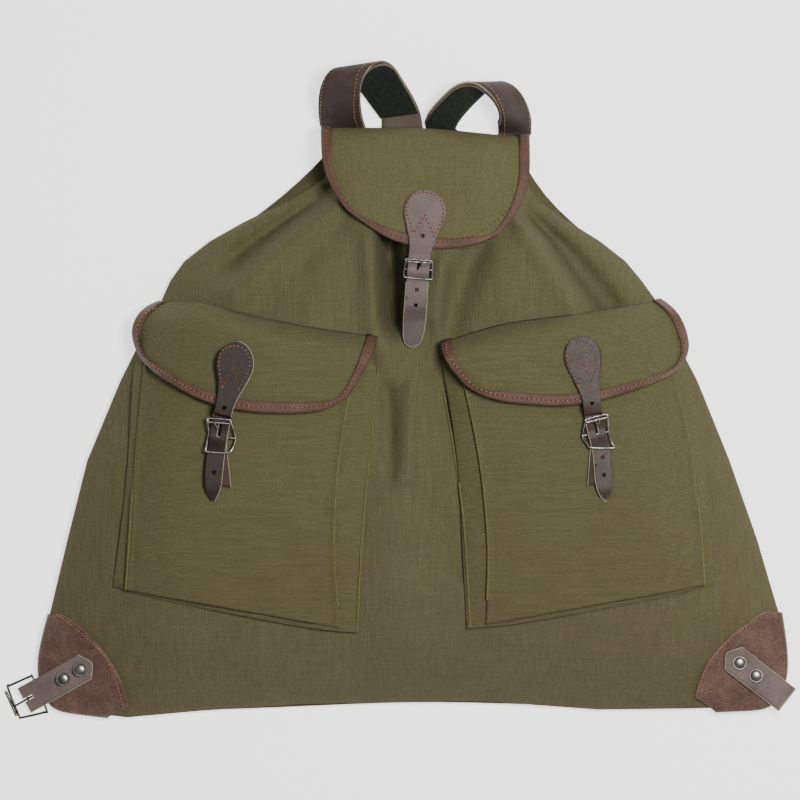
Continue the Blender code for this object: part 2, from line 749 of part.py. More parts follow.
def buckle_levels(ground):
    """Heights of the buckle's bars and of the strap on its way through them."""
    bar = ground + LAYER_GAP + COUNTER_LEATHER + WRAP
    over = bar + WRAP + COUNTER_LEATHER + LAYER_GAP + STRAP_LEATHER
    under_low = ground + 2 * (LAYER_GAP + COUNTER_LEATHER) + LAYER_GAP + STRAP_LEATHER
    low_bar = under_low + 2.2 * LAYER_GAP + WIRE
    top_bar = low_bar - 0.9
    under_top = top_bar - WIRE - 2 * LAYER_GAP
    return {"bar": bar, "over": over, "low_bar": low_bar, "under_low": under_low,
            "top_bar": top_bar, "under_top": under_top}


def make_frame(name, place, arms, width, wire, levels):
    """A buckle frame with two windows: a small lattice of bars, one soldered piece."""
    across = (-width / 2, -width / 2 + 2 * wire, width / 2 - 2 * wire, width / 2)
    along = (-arms[0] - wire, -arms[0] + wire, -wire, wire, arms[1] - wire, arms[1] + wire)
    heights = np.interp(along, (-arms[0], 0.0, arms[1]), levels)
    outer, inner = np.zeros((6, 4, 3)), np.zeros((6, 4, 3))
    for i, (run, height) in enumerate(zip(along, heights)):
        for j, off in enumerate(across):
            corner = i in (0, 5) and j in (0, 3)
            cut = 0.9 * wire if corner else 0.0
            spot = (run - math.copysign(cut, run), off - math.copysign(cut, off))
            outer[i, j] = place(*spot, height + wire)
            inner[i, j] = place(*spot, height - wire)
    return shell(name, outer, inner, "metal", slots={(1, 1), (3, 1)})


def turn_points(centre, radius, start, stop, count):
    """Points on an arc in the plane of the strap's run and height."""
    angles = np.radians(np.linspace(start, stop, count))
    return [(centre[0] + radius * math.cos(a), centre[1] + radius * math.sin(a)) for a in angles]


def ribbon(name, spine, across, halves, wall, finish, slots=(), slot_half=SLOT_HALF):
    """A leather ribbon: its upper face follows the spine, with slots along its middle."""
    offsets = np.array([-1.0, 0.0, 0.0, 1.0])
    inner = np.array([0.0, -slot_half, slot_half, 0.0])
    grid = np.zeros((len(spine), 4, 3))
    for i, (point, side, half) in enumerate(zip(spine, across, halves)):
        middle = np.minimum(slot_half, 0.5 * half) / slot_half
        for j in range(4):
            grid[i, j] = point + side * (offsets[j] * half + inner[j] * middle)
    return sheet(name, grid, wall, finish, slots={(i, 1) for i in slots})


def make_closing(key, ground_names, rest_names):
    """A buckled strap: counter strap, frame, prong and the sewn strap woven through."""
    plan = CLOSINGS[key]
    origin = np.array(plan["buckle"])
    arms = plan["arms"]
    rows = np.array(plan["rows"], float)
    path = smooth_curve(rows, 260)
    steps = np.linalg.norm(np.diff(path[:, :2], axis=0), axis=1)
    run = np.concatenate([[0.0], np.cumsum(steps)])
    centre = run[np.argmin(np.linalg.norm(path[:, :2] - origin, axis=1))]
    run = run - centre
    way = np.array(plan["frame_way"])
    way /= np.linalg.norm(way)
    side = np.array([-way[1], way[0]])

    ground = 0.0
    for s in np.linspace(-0.9 * arms[0], arms[1] + 18.0, 15):
        for off in np.linspace(-10.0, 10.0, 5):
            spot = origin + way * s + side * off
            ground = max(ground, height_at(ground_names, *spot))
    levels = buckle_levels(ground)
    frame_levels = (levels["top_bar"], levels["bar"], levels["low_bar"])

    def place(along, off, height):
        return (*(origin + way * along - side * off), height)

    make_frame(f"{key}_buckle", place, arms, plan["frame_width"], WIRE, frame_levels)

    # The prong's eye goes round the middle bar and its point rests on the top bar.
    eye = WRAP + PRONG
    tip = (-arms[0] - 0.8, levels["top_bar"] + WIRE + LAYER_GAP + PRONG)
    line = turn_points((0.0, levels["bar"]), eye, -165, 75, 7)
    line += [(0.45 * tip[0], 0.5 * (levels["bar"] + eye) + 0.5 * tip[1] + 0.2), tip]
    path3 = [(*(origin + way * s), z) for s, z in line]
    tube(f"{key}_prong", path3, PRONG, "metal", sides=5)

    # The counter strap folds round the middle bar; both its ends are sewn down below.
    end = np.array(plan["counter_end"])
    length = np.linalg.norm(end - origin)
    drift = (end - origin - way * length) / (length - 5.0)
    fold = WRAP + COUNTER_LEATHER
    top_z = ground + 2 * (LAYER_GAP + COUNTER_LEATHER)
    run_out = [(length, top_z), (0.6 * length, top_z), (8.5, top_z + 0.1), (4.6, levels["bar"] + fold - 1.3)]
    bend = turn_points((0.0, levels["bar"]), fold, 70, 270, 8)
    under = [(8.0, levels["bar"] - fold), (0.6 * length, ground + LAYER_GAP)]
    profile = run_out + bend + under
    spine = [np.array((*(origin + way * s + drift * max(0.0, s - 5.0)), z)) for s, z in profile]
    across = [np.array((*side, 0.0))] * len(profile)
    slots = range(2, len(run_out) + len(bend))
    ribbon(f"{key}_counter_strap", spine, across, [plan["counter_half"]] * len(profile),
           COUNTER_LEATHER, "strap_leather", slots, slot_half=COUNTER_SLOT_HALF)

    # The sewn strap: held up by what is under it, then pinned by the three bars.
    top = np.zeros(len(path))
    rest = list(ground_names) + list(rest_names)
    counter = f"{key}_counter_strap"
    for i, (px, py, half) in enumerate(path):
        below = rest + ([counter] if run[i] > arms[1] - 1.0 else [])
        high = 0.0
        for off in np.linspace(-1.0, 1.0, 7):
            spot = np.array((px, py)) + side * off * half
            high = max(high, height_at(below, *spot))
        top[i] = high + STRAP_REST + STRAP_LEATHER
    away = np.array([np.maximum(0.0, np.abs(run - r) - STRAP_STEP) for r in run])
    tent = np.max(top[None, :] - plan["slope"] * away, axis=1)
    marks = [(-arms[0] - 2.5, "under_top"), (-arms[0] + 2.5, "under_top"), (-3.0, "over"),
             (4.2, "over"), (arms[1] - 2.2, "under_low"), (arms[1] + 3.5, "under_low")]
    weave_s = [m[0] for m in marks]
    weave_z = [levels[m[1]] for m in marks]
    inside = (run > weave_s[0] - 0.6) & (run < weave_s[-1] + 0.6)
    tent[inside] = np.interp(run[inside], weave_s, weave_z)
    keep = pick_stations(run, plan, arms)
    spine, halves = [], []
    for s in keep:
        x, y = np.interp(s, run, path[:, 0]), np.interp(s, run, path[:, 1])
        spine.append(np.array((x, y, np.interp(s, run, tent))))
        halves.append(np.interp(s, run, path[:, 2]))
    flat = np.array([p[:2] for p in spine])
    ahead = np.gradient(flat, axis=0)
    ahead /= np.linalg.norm(ahead, axis=1, keepdims=True)
    across = [np.array((a[1], -a[0], 0.0)) for a in ahead]
    slots = [i for i in range(len(keep) - 1)
             if in_slot((keep[i] + keep[i + 1]) / 2, run, path, plan)]
    ribbon(f"{key}_strap", spine, across, halves, STRAP_LEATHER, "strap_leather", slots)


def slot_spans(run, path, plan):
    """Where the strap's slots begin and end: one for the prong, one for each hole."""
    spans = [(-plan["arms"][0] + 4.2, 0.8)]
    for y in plan["holes"]:
        at = float(np.interp(-y, -path[:, 1], run))
        spans.append((at - HOLE_LENGTH / 2, at + HOLE_LENGTH / 2))
    return spans


def in_slot(s, run, path, plan):
    """Say whether a place along the strap lies in one of its slots."""
    return any(a < s < b for a, b in slot_spans(run, path, plan))


def pick_stations(run, plan, arms):
    """Stations along a closing strap: even steps, the bars' edges and the slot ends."""
    path = smooth_curve(np.array(plan["rows"], float), len(run))
    fixed = [-arms[0] - 4.2, -arms[0] - 2.5, -arms[0] + 2.5, -3.0, 4.2, arms[1] - 2.2, arms[1] + 3.5]
    for a, b in slot_spans(run, path, plan):
        fixed += [a, b]
    out = [run[0], run[0] + 1.5, run[0] + 5.0]
    s = run[0] + 5.0
    while s < run[-1] - 9.0:
        s += STRAP_STEP
        if all(abs(s - f) > 3.0 for f in fixed) and s < run[-1] - 5.0:
            out.append(s)
    out += fixed + [run[-1] - 3.0, run[-1]]
    return sorted(out)


def make_patch(side):
    """A leather patch folded round one bottom corner of the bag."""
    table = np.array(PATCHES[side], float)
    edge, arc = table[:, :2], table[:, 2:]
    ahead = np.gradient(edge, axis=0)
    ahead /= np.linalg.norm(ahead, axis=1, keepdims=True)
    out = np.column_stack([ahead[:, 1], -ahead[:, 0]])
    if side == "right":
        out = -out
    shares = (0.0, 0.3, 0.6, 0.85, 1.0)
    grid = []
    for e, a, o in zip(edge, arc, out):
        skin = []
        for t in shares:
            spot = (1 - t) * a + t * e
            high = high_spot(["canvas_front"], *spot, 3.5)
            high = max(high, float(BACK_TOP + back_rise(*spot)) + CANVAS + SEAM_GAP)
            if t == 1.0:
                spot = e + o * 0.9
            skin.append((*spot, high + 0.6 + TRIM_LEATHER))
        middle = BACK_TOP + float(back_rise(*e)) + 1.2
        over = (*(e + o * (3 * SEAM_GAP + TRIM_LEATHER)), middle)
        below = 2 * SEAM_GAP + TRIM_LEATHER - BACK_LOW
        under = (*(e + o * 1.0), float(back_rise(*e)) - below)
        back = (*a, float(back_rise(*a)) - below)
        grid.append(skin + [over, under, back])
    if side == "right":
        grid = grid[::-1]
    sheet(f"corner_patch_{side}", np.array(grid), TRIM_LEATHER, "patch_leather")


def along_tab(side, s):
    """The place in plan at a distance along a corner tab."""
    return np.array(TABS[side]["tip"]) + np.array(TABS[side]["way"]) * s


def below_tab(side, s):
    """Highest point of the patch under a tab at a distance along it."""
    way = np.array(TABS[side]["way"])
    across = np.array((way[1], -way[0]))
    half = TAB_HALF if s > 0 else TAB_TIP_HALF
    spots = [along_tab(side, s + ds) + across * off
             for ds in (-2.0, 0.0, 2.0) for off in np.linspace(-half, half, 5)]
    return max(height_at([f"corner_patch_{side}", "canvas_front"], *spot) for spot in spots)


def make_tab(side):
    """A corner tab: riveted on the patch, folded round a buckle bar past the corner."""
    way = np.array(TABS[side]["way"])
    across = np.array((way[1], -way[0], 0.0))
    bar = TABS[side]["bar"]
    double = TAB_LEATHER + LAYER_GAP

    def top(s):
        lift = 1.3 * double * smooth_step((s - 17.0) / 6.0) if side == "left" else 0.0
        return below_tab(side, s) + SEAM_GAP + TAB_LEATHER + lift

    if side == "left":
        seated = [(s, top(s)) for s in (0.0, TAB_SHOULDER, 15.0, 22.0, 31.0, 40.0, 49.0, 56.0)]
        fold = HINGE_WRAP + TAB_LEATHER
        bend = turn_points((bar, HINGE_HEIGHT), fold, 95, -150, 8)
        bend.insert(0, (62.5, 0.55 * seated[-1][1] + 0.45 * bend[0][1]))
        line = np.array(seated + bend[:2])
        lean = np.gradient(line, axis=0)
        lean /= np.linalg.norm(lean, axis=1, keepdims=True)
        lower = line - (TAB_LEATHER + double) * np.column_stack([-lean[:, 1], lean[:, 0]])
        under = [tuple(p) for p in lower[-2:2:-1]]
        profile = seated + bend + under
        slots = range(len(seated), len(seated) + len(bend))
    else:
        seated = [(s, top(s)) for s in (0.0, TAB_SHOULDER, 18.0, 28.0, 38.0, 47.0, 55.0, 61.0)]
        lower = HIDDEN_BAR + HIDDEN_WRAP
        radius = (seated[-1][1] - lower) / 2
        curl = turn_points((64.6, lower + radius), radius, 75, -90, 6)
        bend = turn_points((bar, HIDDEN_BAR), HIDDEN_WRAP, 90, 270, 5)
        profile = seated + curl + [(57.0, lower)] + bend + [(57.0, HIDDEN_BAR - HIDDEN_WRAP)]
        slots = ()
    spine = [np.array((*along_tab(side, s), z)) for s, z in profile]
    halves = [TAB_TIP_HALF] + [TAB_HALF] * (len(profile) - 1)
    ribbon(f"corner_tab_{side}", spine, [across] * len(profile), halves, TAB_LEATHER,
           "strap_leather", slots, slot_half=COUNTER_SLOT_HALF)


def make_rivets(side):
    """Two domed rivet heads on a corner tab."""
    for number, s in enumerate(TABS[side]["rivets"], 1):
        x, y = along_tab(side, s)
        seat = 0.0
        for off in (0.0, RIVET_RADIUS):
            for turn in range(8):
                angle = turn * math.pi / 4
                seat = max(seat, height_at([f"corner_tab_{side}"], x + off * math.cos(angle),
                                           y + off * math.sin(angle)))
        bm = bmesh.new()
        rings = []
        for share, height in ((1.0, 0.0), (0.92, 0.5), (0.55, 1.0)):
            ring = []
            for n in range(RIVET_SIDES):
                angle = 2 * math.pi * n / RIVET_SIDES
                ring.append(bm.verts.new((x + share * RIVET_RADIUS * math.cos(angle),
                                          y + share * RIVET_RADIUS * math.sin(angle),
                                          seat + LAYER_GAP + height * RIVET_HEIGHT)))
            rings.append(ring)
        for low, high in zip(rings, rings[1:]):
            for n in range(RIVET_SIDES):
                m = (n + 1) % RIVET_SIDES
                bm.faces.new([low[n], low[m], high[m], high[n]])
        bm.faces.new(rings[0][::-1])
        bm.faces.new(rings[-1])
        add_body(f"rivet_{side}_{number}", bm, "metal")


def make_corner_buckles():
    """The open buckle that hinges at the left corner and the hidden one at the right."""
    bar = along_tab("left", TABS["left"]["bar"])
    way = np.array(TABS["left"]["way"])
    side = np.array((way[1], -way[0]))

    def tilted(run, off, height):
        level = run * math.cos(REST_TILT) + height * math.sin(REST_TILT)
        drop = height * math.cos(REST_TILT) - run * math.sin(REST_TILT)
        return (*(bar + way * level + side * off), HINGE_HEIGHT + drop)

    make_frame("corner_buckle", tilted, (INNER_ARM, OUTER_ARM), HINGE_WIDTH, HINGE_WIRE, (0, 0, 0))
    eye = HINGE_WRAP + HINGE_PRONG
    tip = (OUTER_ARM + 0.9, HINGE_WIRE + LAYER_GAP + HINGE_PRONG)
    line = turn_points((0.0, 0.0), eye, 345, 105, 8)
    line += [(0.45 * tip[0], 0.5 * (eye + tip[1]) + 0.2), tip]
    tube("corner_prong", [tilted(run, 0.0, h) for run, h in line], HINGE_PRONG, "metal", sides=6)

    right_way = np.array(TABS["right"]["way"])
    right_side = np.array((right_way[1], -right_way[0]))
    right_bar = along_tab("right", TABS["right"]["bar"])

    def flat(run, off, height):
        return (*(right_bar + right_way * run + right_side * off), height)

    make_frame("corner_buckle_hidden", flat, (14.0, 9.0), HIDDEN_WIDTH, WIRE, [HIDDEN_BAR] * 3)


def make_shoulder(side):
    """A shoulder strap: leather outside, felt inside, and a narrow lower strap."""
    rows = np.array(SHOULDERS[side], float)
    dense = smooth_curve(rows, 400)
    run = np.concatenate([[0.0], np.cumsum(np.linalg.norm(np.diff(dense[:, :3], axis=0), axis=1))])
    lying = run[np.argmin(np.linalg.norm(dense[:, :2] - rows[LYING_ROW, :2], axis=1))]
    bare_start, bare_end = LEATHER_BARE[side]
    ends = (bare_start, run[-1] - bare_end)
    steps = [*np.linspace(0.0, lying, LYING_STATIONS), *np.linspace(lying, run[-1], LOOP_STATIONS)[1:]]
    stations = np.array(sorted([s for s in steps if min(abs(s - e) for e in ends) > 3.0] + list(ends)))
    felt = (stations >= ends[0]) & (stations <= ends[1])

    table = np.column_stack([np.interp(stations, run, dense[:, k]) for k in range(6)])
    point, (turn, tilt), half = table[:, :3], np.radians(table[:, 3:5].T), table[:, 5]
    half_gap = SHOULDER_GAP / 2
    lowest = FELT + half_gap + half * np.abs(np.sin(tilt))
    point[:, 2] = np.maximum(point[:, 2], lowest)
    ahead = np.gradient(point, axis=0)
    width = np.column_stack([np.cos(turn) * np.cos(tilt), np.sin(turn) * np.cos(tilt), np.sin(tilt)])
    facing = np.cross(width, ahead)
    facing /= np.linalg.norm(facing, axis=1, keepdims=True)
    reach = width * half[:, None]

    def strip(offset):
        middle = point + facing * offset
        sides = np.stack([middle - reach, middle + reach], axis=1)
        sides[..., 2] = np.maximum(sides[..., 2], 0.0)
        return sides

    shell(f"shoulder_strap_{side}", strip(half_gap + STRAP_LEATHER), strip(half_gap), "strap_leather")
    shell(f"shoulder_felt_{side}", strip(-half_gap)[felt], strip(-half_gap - FELT)[felt], "felt")

    heading = rows[0, :2] - rows[1, :2]
    heading /= np.linalg.norm(heading)
    start = rows[0, :2] - heading * (bare_start - 2.0)
    across = np.array((heading[1], -heading[0], 0.0))
    length = LOWER_LENGTH[side]
    marks = (0.0, 0.35 * length, 0.7 * length, length - 8.0, length)
    spine = [np.array((*(start + heading * s), LOWER_LEATHER)) for s in marks]
    halves = [LOWER_HALF] * 4 + [LOWER_TIP_HALF]
    ribbon(f"lower_strap_{side}", spine, [across] * 5, halves, LOWER_LEATHER, "strap_leather")


def build():
    """Make every piece in the order in which it rests on the one before."""
    clear_scene()
    make_sack()
    make_lid()
    for side in ("left", "right"):
        make_pocket(side)
        make_flap(side)
    make_closing("lid", ["canvas_front"], ["lid", "lid_binding"])
    for side in ("left", "right"):
        make_closing(side, [f"pocket_front_{side}"], [f"flap_{side}", f"flap_binding_{side}"])
    for side in ("left", "right"):
        make_patch(side)
        make_tab(side)
        make_rivets(side)
        make_shoulder(side)
    make_corner_buckles()


build()
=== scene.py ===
# %% [markdown]
# # A canvas rucksack with leather trim, lying on its back
#
# This lesson dresses a plain solid model of a rucksack. The solids give the true sizes
# and places; each soft one is swapped here for a finer piece of cloth, leather or metal.
# The bag lies flat, so X runs across it, Y from its bottom seam to its mouth, and Z up.

# %% Start from the frame
import math
import bpy
import bmesh
import numpy as np
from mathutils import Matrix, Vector
from mathutils.bvhtree import BVHTree


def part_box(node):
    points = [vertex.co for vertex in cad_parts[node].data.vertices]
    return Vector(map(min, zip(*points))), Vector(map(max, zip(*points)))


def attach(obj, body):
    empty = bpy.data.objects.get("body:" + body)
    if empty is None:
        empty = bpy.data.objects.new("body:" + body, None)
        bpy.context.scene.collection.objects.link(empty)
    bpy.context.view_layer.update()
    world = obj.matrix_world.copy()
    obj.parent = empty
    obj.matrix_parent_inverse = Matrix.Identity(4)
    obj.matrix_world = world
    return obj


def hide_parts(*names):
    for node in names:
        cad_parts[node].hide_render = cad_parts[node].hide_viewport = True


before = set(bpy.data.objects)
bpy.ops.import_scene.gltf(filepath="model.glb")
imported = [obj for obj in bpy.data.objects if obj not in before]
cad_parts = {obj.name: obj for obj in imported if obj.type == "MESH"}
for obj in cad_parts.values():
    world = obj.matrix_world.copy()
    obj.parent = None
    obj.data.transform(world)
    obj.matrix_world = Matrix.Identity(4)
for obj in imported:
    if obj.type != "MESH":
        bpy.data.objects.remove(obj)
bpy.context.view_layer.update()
MM = 0.001
BAG = "bag"

# %% [markdown]
# ## Where the camera stands
#
# The bag is seen straight from above through a long lens, so that its outline has hardly
# any perspective. A pixel of the 800 x 800 frame is 0.9 mm on the cloth. The camera comes
# first because seams are placed below by what can be seen from it.

# %% Camera
PIXEL = 0.9
FRAME_PIXELS = 800
ORIGIN_PIXEL = (400, 388)
VIEW_HEIGHT = 6.0
CLOTH_LEVEL = 0.04
SENSOR = 36.0


def plan(points):
    """Turn pixel positions in the frame into (x, y) on the bag, in metres."""
    points = np.asarray(points, float)
    return np.column_stack([points[:, 0] - ORIGIN_PIXEL[0], ORIGIN_PIXEL[1] - points[:, 1]]) * PIXEL * MM


def add_object(name, data):
    """Put a mesh, a lamp or a camera into the scene, at the origin."""
    obj = bpy.data.objects.new(name, data)
    bpy.context.scene.collection.objects.link(obj)
    return obj


lens = bpy.data.cameras.new("View from above")
lens.sensor_width = SENSOR
lens.lens = SENSOR * VIEW_HEIGHT / (FRAME_PIXELS * PIXEL * MM)
lens.clip_end = 50.0
camera = add_object("View from above", lens)
camera.location = (0.0, plan([(400, 400)])[0][1], CLOTH_LEVEL + VIEW_HEIGHT)
bpy.context.scene.camera = camera
print("camera at", [round(v, 3) for v in camera.location], "lens", round(lens.lens), "mm")

# %% [markdown]
# ## Building materials
#
# A material is a small network. One helper adds a node, sets it and links it, so that
# each finish below reads as a list of what its surface does. Colours are written as the
# hex values that a picture editor shows and are turned into linear light once, here.

# %% Helpers for materials


def linear(hex_code):
    """An sRGB hex colour as linear red, green, blue and alpha."""
    parts = [int(hex_code[k:k + 2], 16) / 255 for k in (1, 3, 5)]
    return (*[c / 12.92 if c <= 0.04045 else ((c + 0.055) / 1.055) ** 2.4 for c in parts], 1.0)


def add_node(tree, kind, settings=None, inputs=None):
    """Add a node, set its own settings, and fill its inputs or link them to a node or socket."""
    node = tree.nodes.new(kind)
    for key, value in (settings or {}).items():
        setattr(node, key, value)
    for key, value in (inputs or {}).items():
        if isinstance(value, bpy.types.Node):
            value = value.outputs[0]
        if isinstance(value, bpy.types.NodeSocket):
            tree.links.new(value, node.inputs[key])
        else:
            node.inputs[key].default_value = value
    return node


def new_finish(name, roughness, **values):
    """An empty material with its shader: give back the material, tree and shader."""
    finish = bpy.data.materials.new(name)
    finish.use_nodes = True
    tree = finish.node_tree
    shader = tree.nodes["Principled BSDF"]
    shader.inputs["Roughness"].default_value = roughness
    for key, value in values.items():
        shader.inputs[key.replace("_", " ")].default_value = value
    return finish, tree, shader


def pattern(tree, size_mm, detail=2.0, roughness=0.5):
    """A noise pattern whose features have a real size along X, Y and Z, in millimetres."""
    place = add_node(tree, "ShaderNodeTexCoord").outputs["Object"]
    scale = tuple(1.0 / (s * MM) for s in size_mm)
    scaled = add_node(tree, "ShaderNodeMapping", None, {"Vector": place, "Scale": scale})
    noise = add_node(tree, "ShaderNodeTexNoise", None, {
        "Vector": scaled, "Scale": 1.0, "Detail": detail, "Roughness": roughness})
    return noise.outputs["Fac"]


def up_the_bag(tree):
    """How far up the bag a point lies, in metres."""
    place = add_node(tree, "ShaderNodeTexCoord").outputs["Object"]
    return add_node(tree, "ShaderNodeSeparateXYZ", None, {0: place}).outputs["Y"]


def weighed(tree, *parts):
    """Patterns added up, each by its own weight."""
    total = 0.0
    for value, weight in parts:
        total = add_node(tree, "ShaderNodeMath", {"operation": "MULTIPLY_ADD"},
                         {0: value, 1: weight, 2: total})
    return total


def two_tone(tree, value, dark, light, low=0.35, high=0.65):
    """A colour that goes from dark to light while a pattern goes from low to high."""
    amount = add_node(tree, "ShaderNodeMapRange", None, {0: value, 1: low, 2: high})
    return add_node(tree, "ShaderNodeMix", {"data_type": "RGBA"},
                    {0: amount, 6: linear(dark), 7: linear(light)}).outputs[2]


def tinted(tree, colour, *tints):
    """A colour multiplied by one tint after the other."""
    for tint in tints:
        colour = add_node(tree, "ShaderNodeMix", {"data_type": "RGBA", "blend_type": "MULTIPLY"},
                          {0: 1.0, 6: colour, 7: tint}).outputs[2]
    return colour


def cover(tree, shader, colour, rough=None, relief=None, strength=0.5, depth=0.0004):
    """Link a finish's colour, its roughness and its relief to its shader."""
    tree.links.new(colour, shader.inputs["Base Color"])
    if rough:
        tree.links.new(rough.outputs[0], shader.inputs["Roughness"])
    if relief:
        bump = add_node(tree, "ShaderNodeBump", None,
                        {"Strength": strength, "Distance": depth, "Height": relief})
        tree.links.new(bump.outputs[0], shader.inputs["Normal"])


print("material helpers ready")

# %% [markdown]
# ## Canvas
#
# The bag is washed cotton canvas, plain woven: thick and thin threads cross at right
# angles. Its real threads are about 0.7 mm apart, too fine to show here, so the grain is
# drawn near 1.6 mm. Long slubs (thick spots in a thread) run across the pockets, and the
# canvas is drawn browner towards the bottom. It could be an image, but noise that is
# stretched along the threads gives the same streaks at any distance.

# %% Canvas finishes


def canvas(name, light, dark, low, slub=0.5, warp=0.35, speck=0.12, fade=(-0.30, 0.10)):
    """Woven cotton: long weft slubs along X, warp streaks along Y and a fine grain."""
    finish, tree, shader = new_finish(name, 0.95, Sheen_Weight=0.02, Sheen_Roughness=0.5,
                                      Specular_IOR_Level=0.08)
    threads = ((pattern(tree, (34, 1.5, 3.0), 3.0, 0.6), slub),
               (pattern(tree, (1.6, 30, 6.0), 3.0, 0.6), warp))
    streak = weighed(tree, *[
        (add_node(tree, "ShaderNodeMapRange", None, {0: value, 1: 0.35, 2: 0.65}), weight / (slub + warp))
        for value, weight in threads])
    grain = pattern(tree, (1.5, 1.5, 1.5), 1.0)
    speckle = add_node(tree, "ShaderNodeMapRange", None, {
        0: grain, 1: 0.3, 2: 0.7, 3: 1.0 - speck, 4: 1.0 + 0.6 * speck})
    up = add_node(tree, "ShaderNodeMapRange", None, {0: up_the_bag(tree), 1: fade[0], 2: fade[1]})
    cloud = add_node(tree, "ShaderNodeMapRange", None, {
        0: pattern(tree, (60, 45, 60)), 1: 0.3, 2: 0.7, 3: -0.25, 4: 0.25})
    # Browner towards the bottom of the bag, in soft random clouds of tone.
    worn = two_tone(tree, weighed(tree, (up, 1.0), (cloud, 1.0)), low, "#ffffff", 0.0, 1.0)
    colour = tinted(tree, two_tone(tree, streak, dark, light, 0.15, 0.85), worn, speckle)
    cover(tree, shader, colour, None, weighed(tree, (grain, 0.6), (streak, 1.0)), 0.55, 0.0005)
    return finish


# Washed cloth is matte. The body shows its warp, the pockets show their long slubs, and
# the folded edges of the welts are drawn lighter, a painted highlight along their ridges.
BODY_CANVAS = canvas("Washed cotton canvas, body", "#5f5c42", "#56533b", "#fff5fc", slub=0.35, warp=0.5)
POCKET_CANVAS = canvas("Washed cotton canvas, pockets", "#5e5b3f", "#56533a", "#fff4fa",
                       slub=0.6, warp=0.15, fade=(-0.26, 0.02))
LID_CANVAS = canvas("Washed cotton canvas, lid", "#646043", "#5c593d", "#fffbfa",
                    slub=0.3, warp=0.3, speck=0.16)
WELT_HIGHLIGHT_CANVAS = canvas("Washed cotton canvas, welts with painted highlight", "#6d6945", "#5f5c3b", "#fff4f8", speck=0.2)
print("finishes so far:", len(bpy.data.materials))

# %% [markdown]
# ## Leather, felt, thread and metal
#
# The straps are waxed cowhide cut from the side: smooth, a little glossy, pale where the
# knife left a raw edge. The corner patches and the edge binding keep a pebbled grain. A
# cell pattern gives that grain, because hide creases into cells. The buckles are steel
# plated with antique nickel, so they are dark with brighter high spots.

# %% Leather and felt finishes


def leather(name, light, dark, grain_mm=1.3, relief=0.15, roughness=0.5):
    """Hide: soft colour clouds over a grain of small cells, with a waxed surface."""
    finish, tree, shader = new_finish(name, roughness, Coat_Weight=0.03, Coat_Roughness=0.5,
                                      Specular_IOR_Level=0.25)
    cloud = pattern(tree, (22, 22, 22), 3.0, 0.6)
    fine = pattern(tree, (2.2, 2.2, 2.2), 2.0, 0.6)
    place = add_node(tree, "ShaderNodeTexCoord").outputs["Object"]
    cells = add_node(tree, "ShaderNodeTexVoronoi", {"feature": "DISTANCE_TO_EDGE"}, {
        "Vector": place, "Scale": 1.0 / (grain_mm * MM)})
    crease = add_node(tree, "ShaderNodeMapRange", None, {0: cells.outputs["Distance"], 2: 0.25})
    shade = add_node(tree, "ShaderNodeMapRange", None, {0: crease, 3: 1.0 - 0.55 * relief})
    rough = add_node(tree, "ShaderNodeMapRange", None, {
        0: fine, 1: 0.3, 2: 0.7, 3: roughness - 0.08, 4: roughness + 0.10})
    colour = two_tone(tree, weighed(tree, (cloud, 0.6), (fine, 0.4)), dark, light)
    cover(tree, shader, tinted(tree, colour, shade), rough, weighed(tree, (crease, relief), (fine, 0.3)))
    return finish


def paint_shade_below(finish, top, bottom, shade):
    """Paint shade on a hide between two places up the bag, in millimetres, darker towards the lower one."""
    tree = finish.node_tree
    base = next(node for node in tree.nodes if node.type == "BSDF_PRINCIPLED").inputs["Base Color"]
    amount = add_node(tree, "ShaderNodeMapRange", None, {
        0: up_the_bag(tree), 1: bottom * MM, 2: top * MM, 3: shade})
    tree.links.new(tinted(tree, base.links[0].from_socket, amount), base)


# Waxed faces: nearly smooth, with a soft gloss.
LID_LEATHER = leather("Waxed cowhide, grey brown", "#6c5c56", "#5a4b45")
# Painted shade: the lid strap darkens towards its lower end, where it hangs in the hollow below the lid.
paint_shade_below(LID_LEATHER, 86, 62, 0.53)
POCKET_LEATHER = leather("Waxed cowhide, dark brown", "#4d3e37", "#392c26")
# Painted shade: the left strap is drawn darker than the right one, on the side away from the light.
SHADED_LEFT_LEATHER = leather("Waxed cowhide, left strap in painted shade", "#352822", "#261b17", roughness=0.55)
# The corner tabs are drawn lighter, partly a painted highlight for the sheen on them.
TAB_LEATHER = leather("Waxed cowhide, corner tabs", "#7a6c66", "#64564f")
SHOULDER_LEATHER = leather("Waxed cowhide, shoulder straps", "#4a3d36", "#392d27", 1.4, 0.15, 0.72)
# Grained hide: its cells catch the light, finely on the binding and coarsely on the patches.
BINDING_LEATHER = leather("Thin red-brown binding leather", "#6b5042", "#523c31", 1.5, 0.45, 0.6)
PATCH_LEATHER = leather("Pebbled brown cowhide", "#765b4f", "#553d34", 2.4, 0.6, 0.5)
# Cut edges and the flesh side are raw: pale, dry and dull.
PATCH_EDGE = leather("Cut edge of the patches", "#84705e", "#6c5a4a", 1.2, 0.1, 0.8)
COUNTER_LEATHER = leather("Cowhide, unfinished side", "#4e3a32", "#3a2a23", 1.6, 0.1, 0.75)
CUT_EDGE = leather("Cut edge of cowhide", "#aaa08a", "#8f846f", 1.2, 0.1, 0.8)
FLESH_SIDE = leather("Flesh side of cowhide", "#6b6154", "#574e43", 1.2, 0.1, 0.85)


def felt(name, light, dark):
    """Pressed wool: matte fibres that catch a faint rim of light."""
    finish, tree, shader = new_finish(name, 1.0, Sheen_Weight=0.04, Sheen_Roughness=0.6,
                                      Specular_IOR_Level=0.1)
    fibre = pattern(tree, (3.0, 3.0, 3.0), 4.0, 0.7)
    cover(tree, shader, two_tone(tree, fibre, dark, light), None, fibre, 0.6, 0.0006)
    return finish


FELT = felt("Dark green felt", "#262a23", "#1a1e18")
print("finishes so far:", len(bpy.data.materials))

# %% Metal and thread finishes


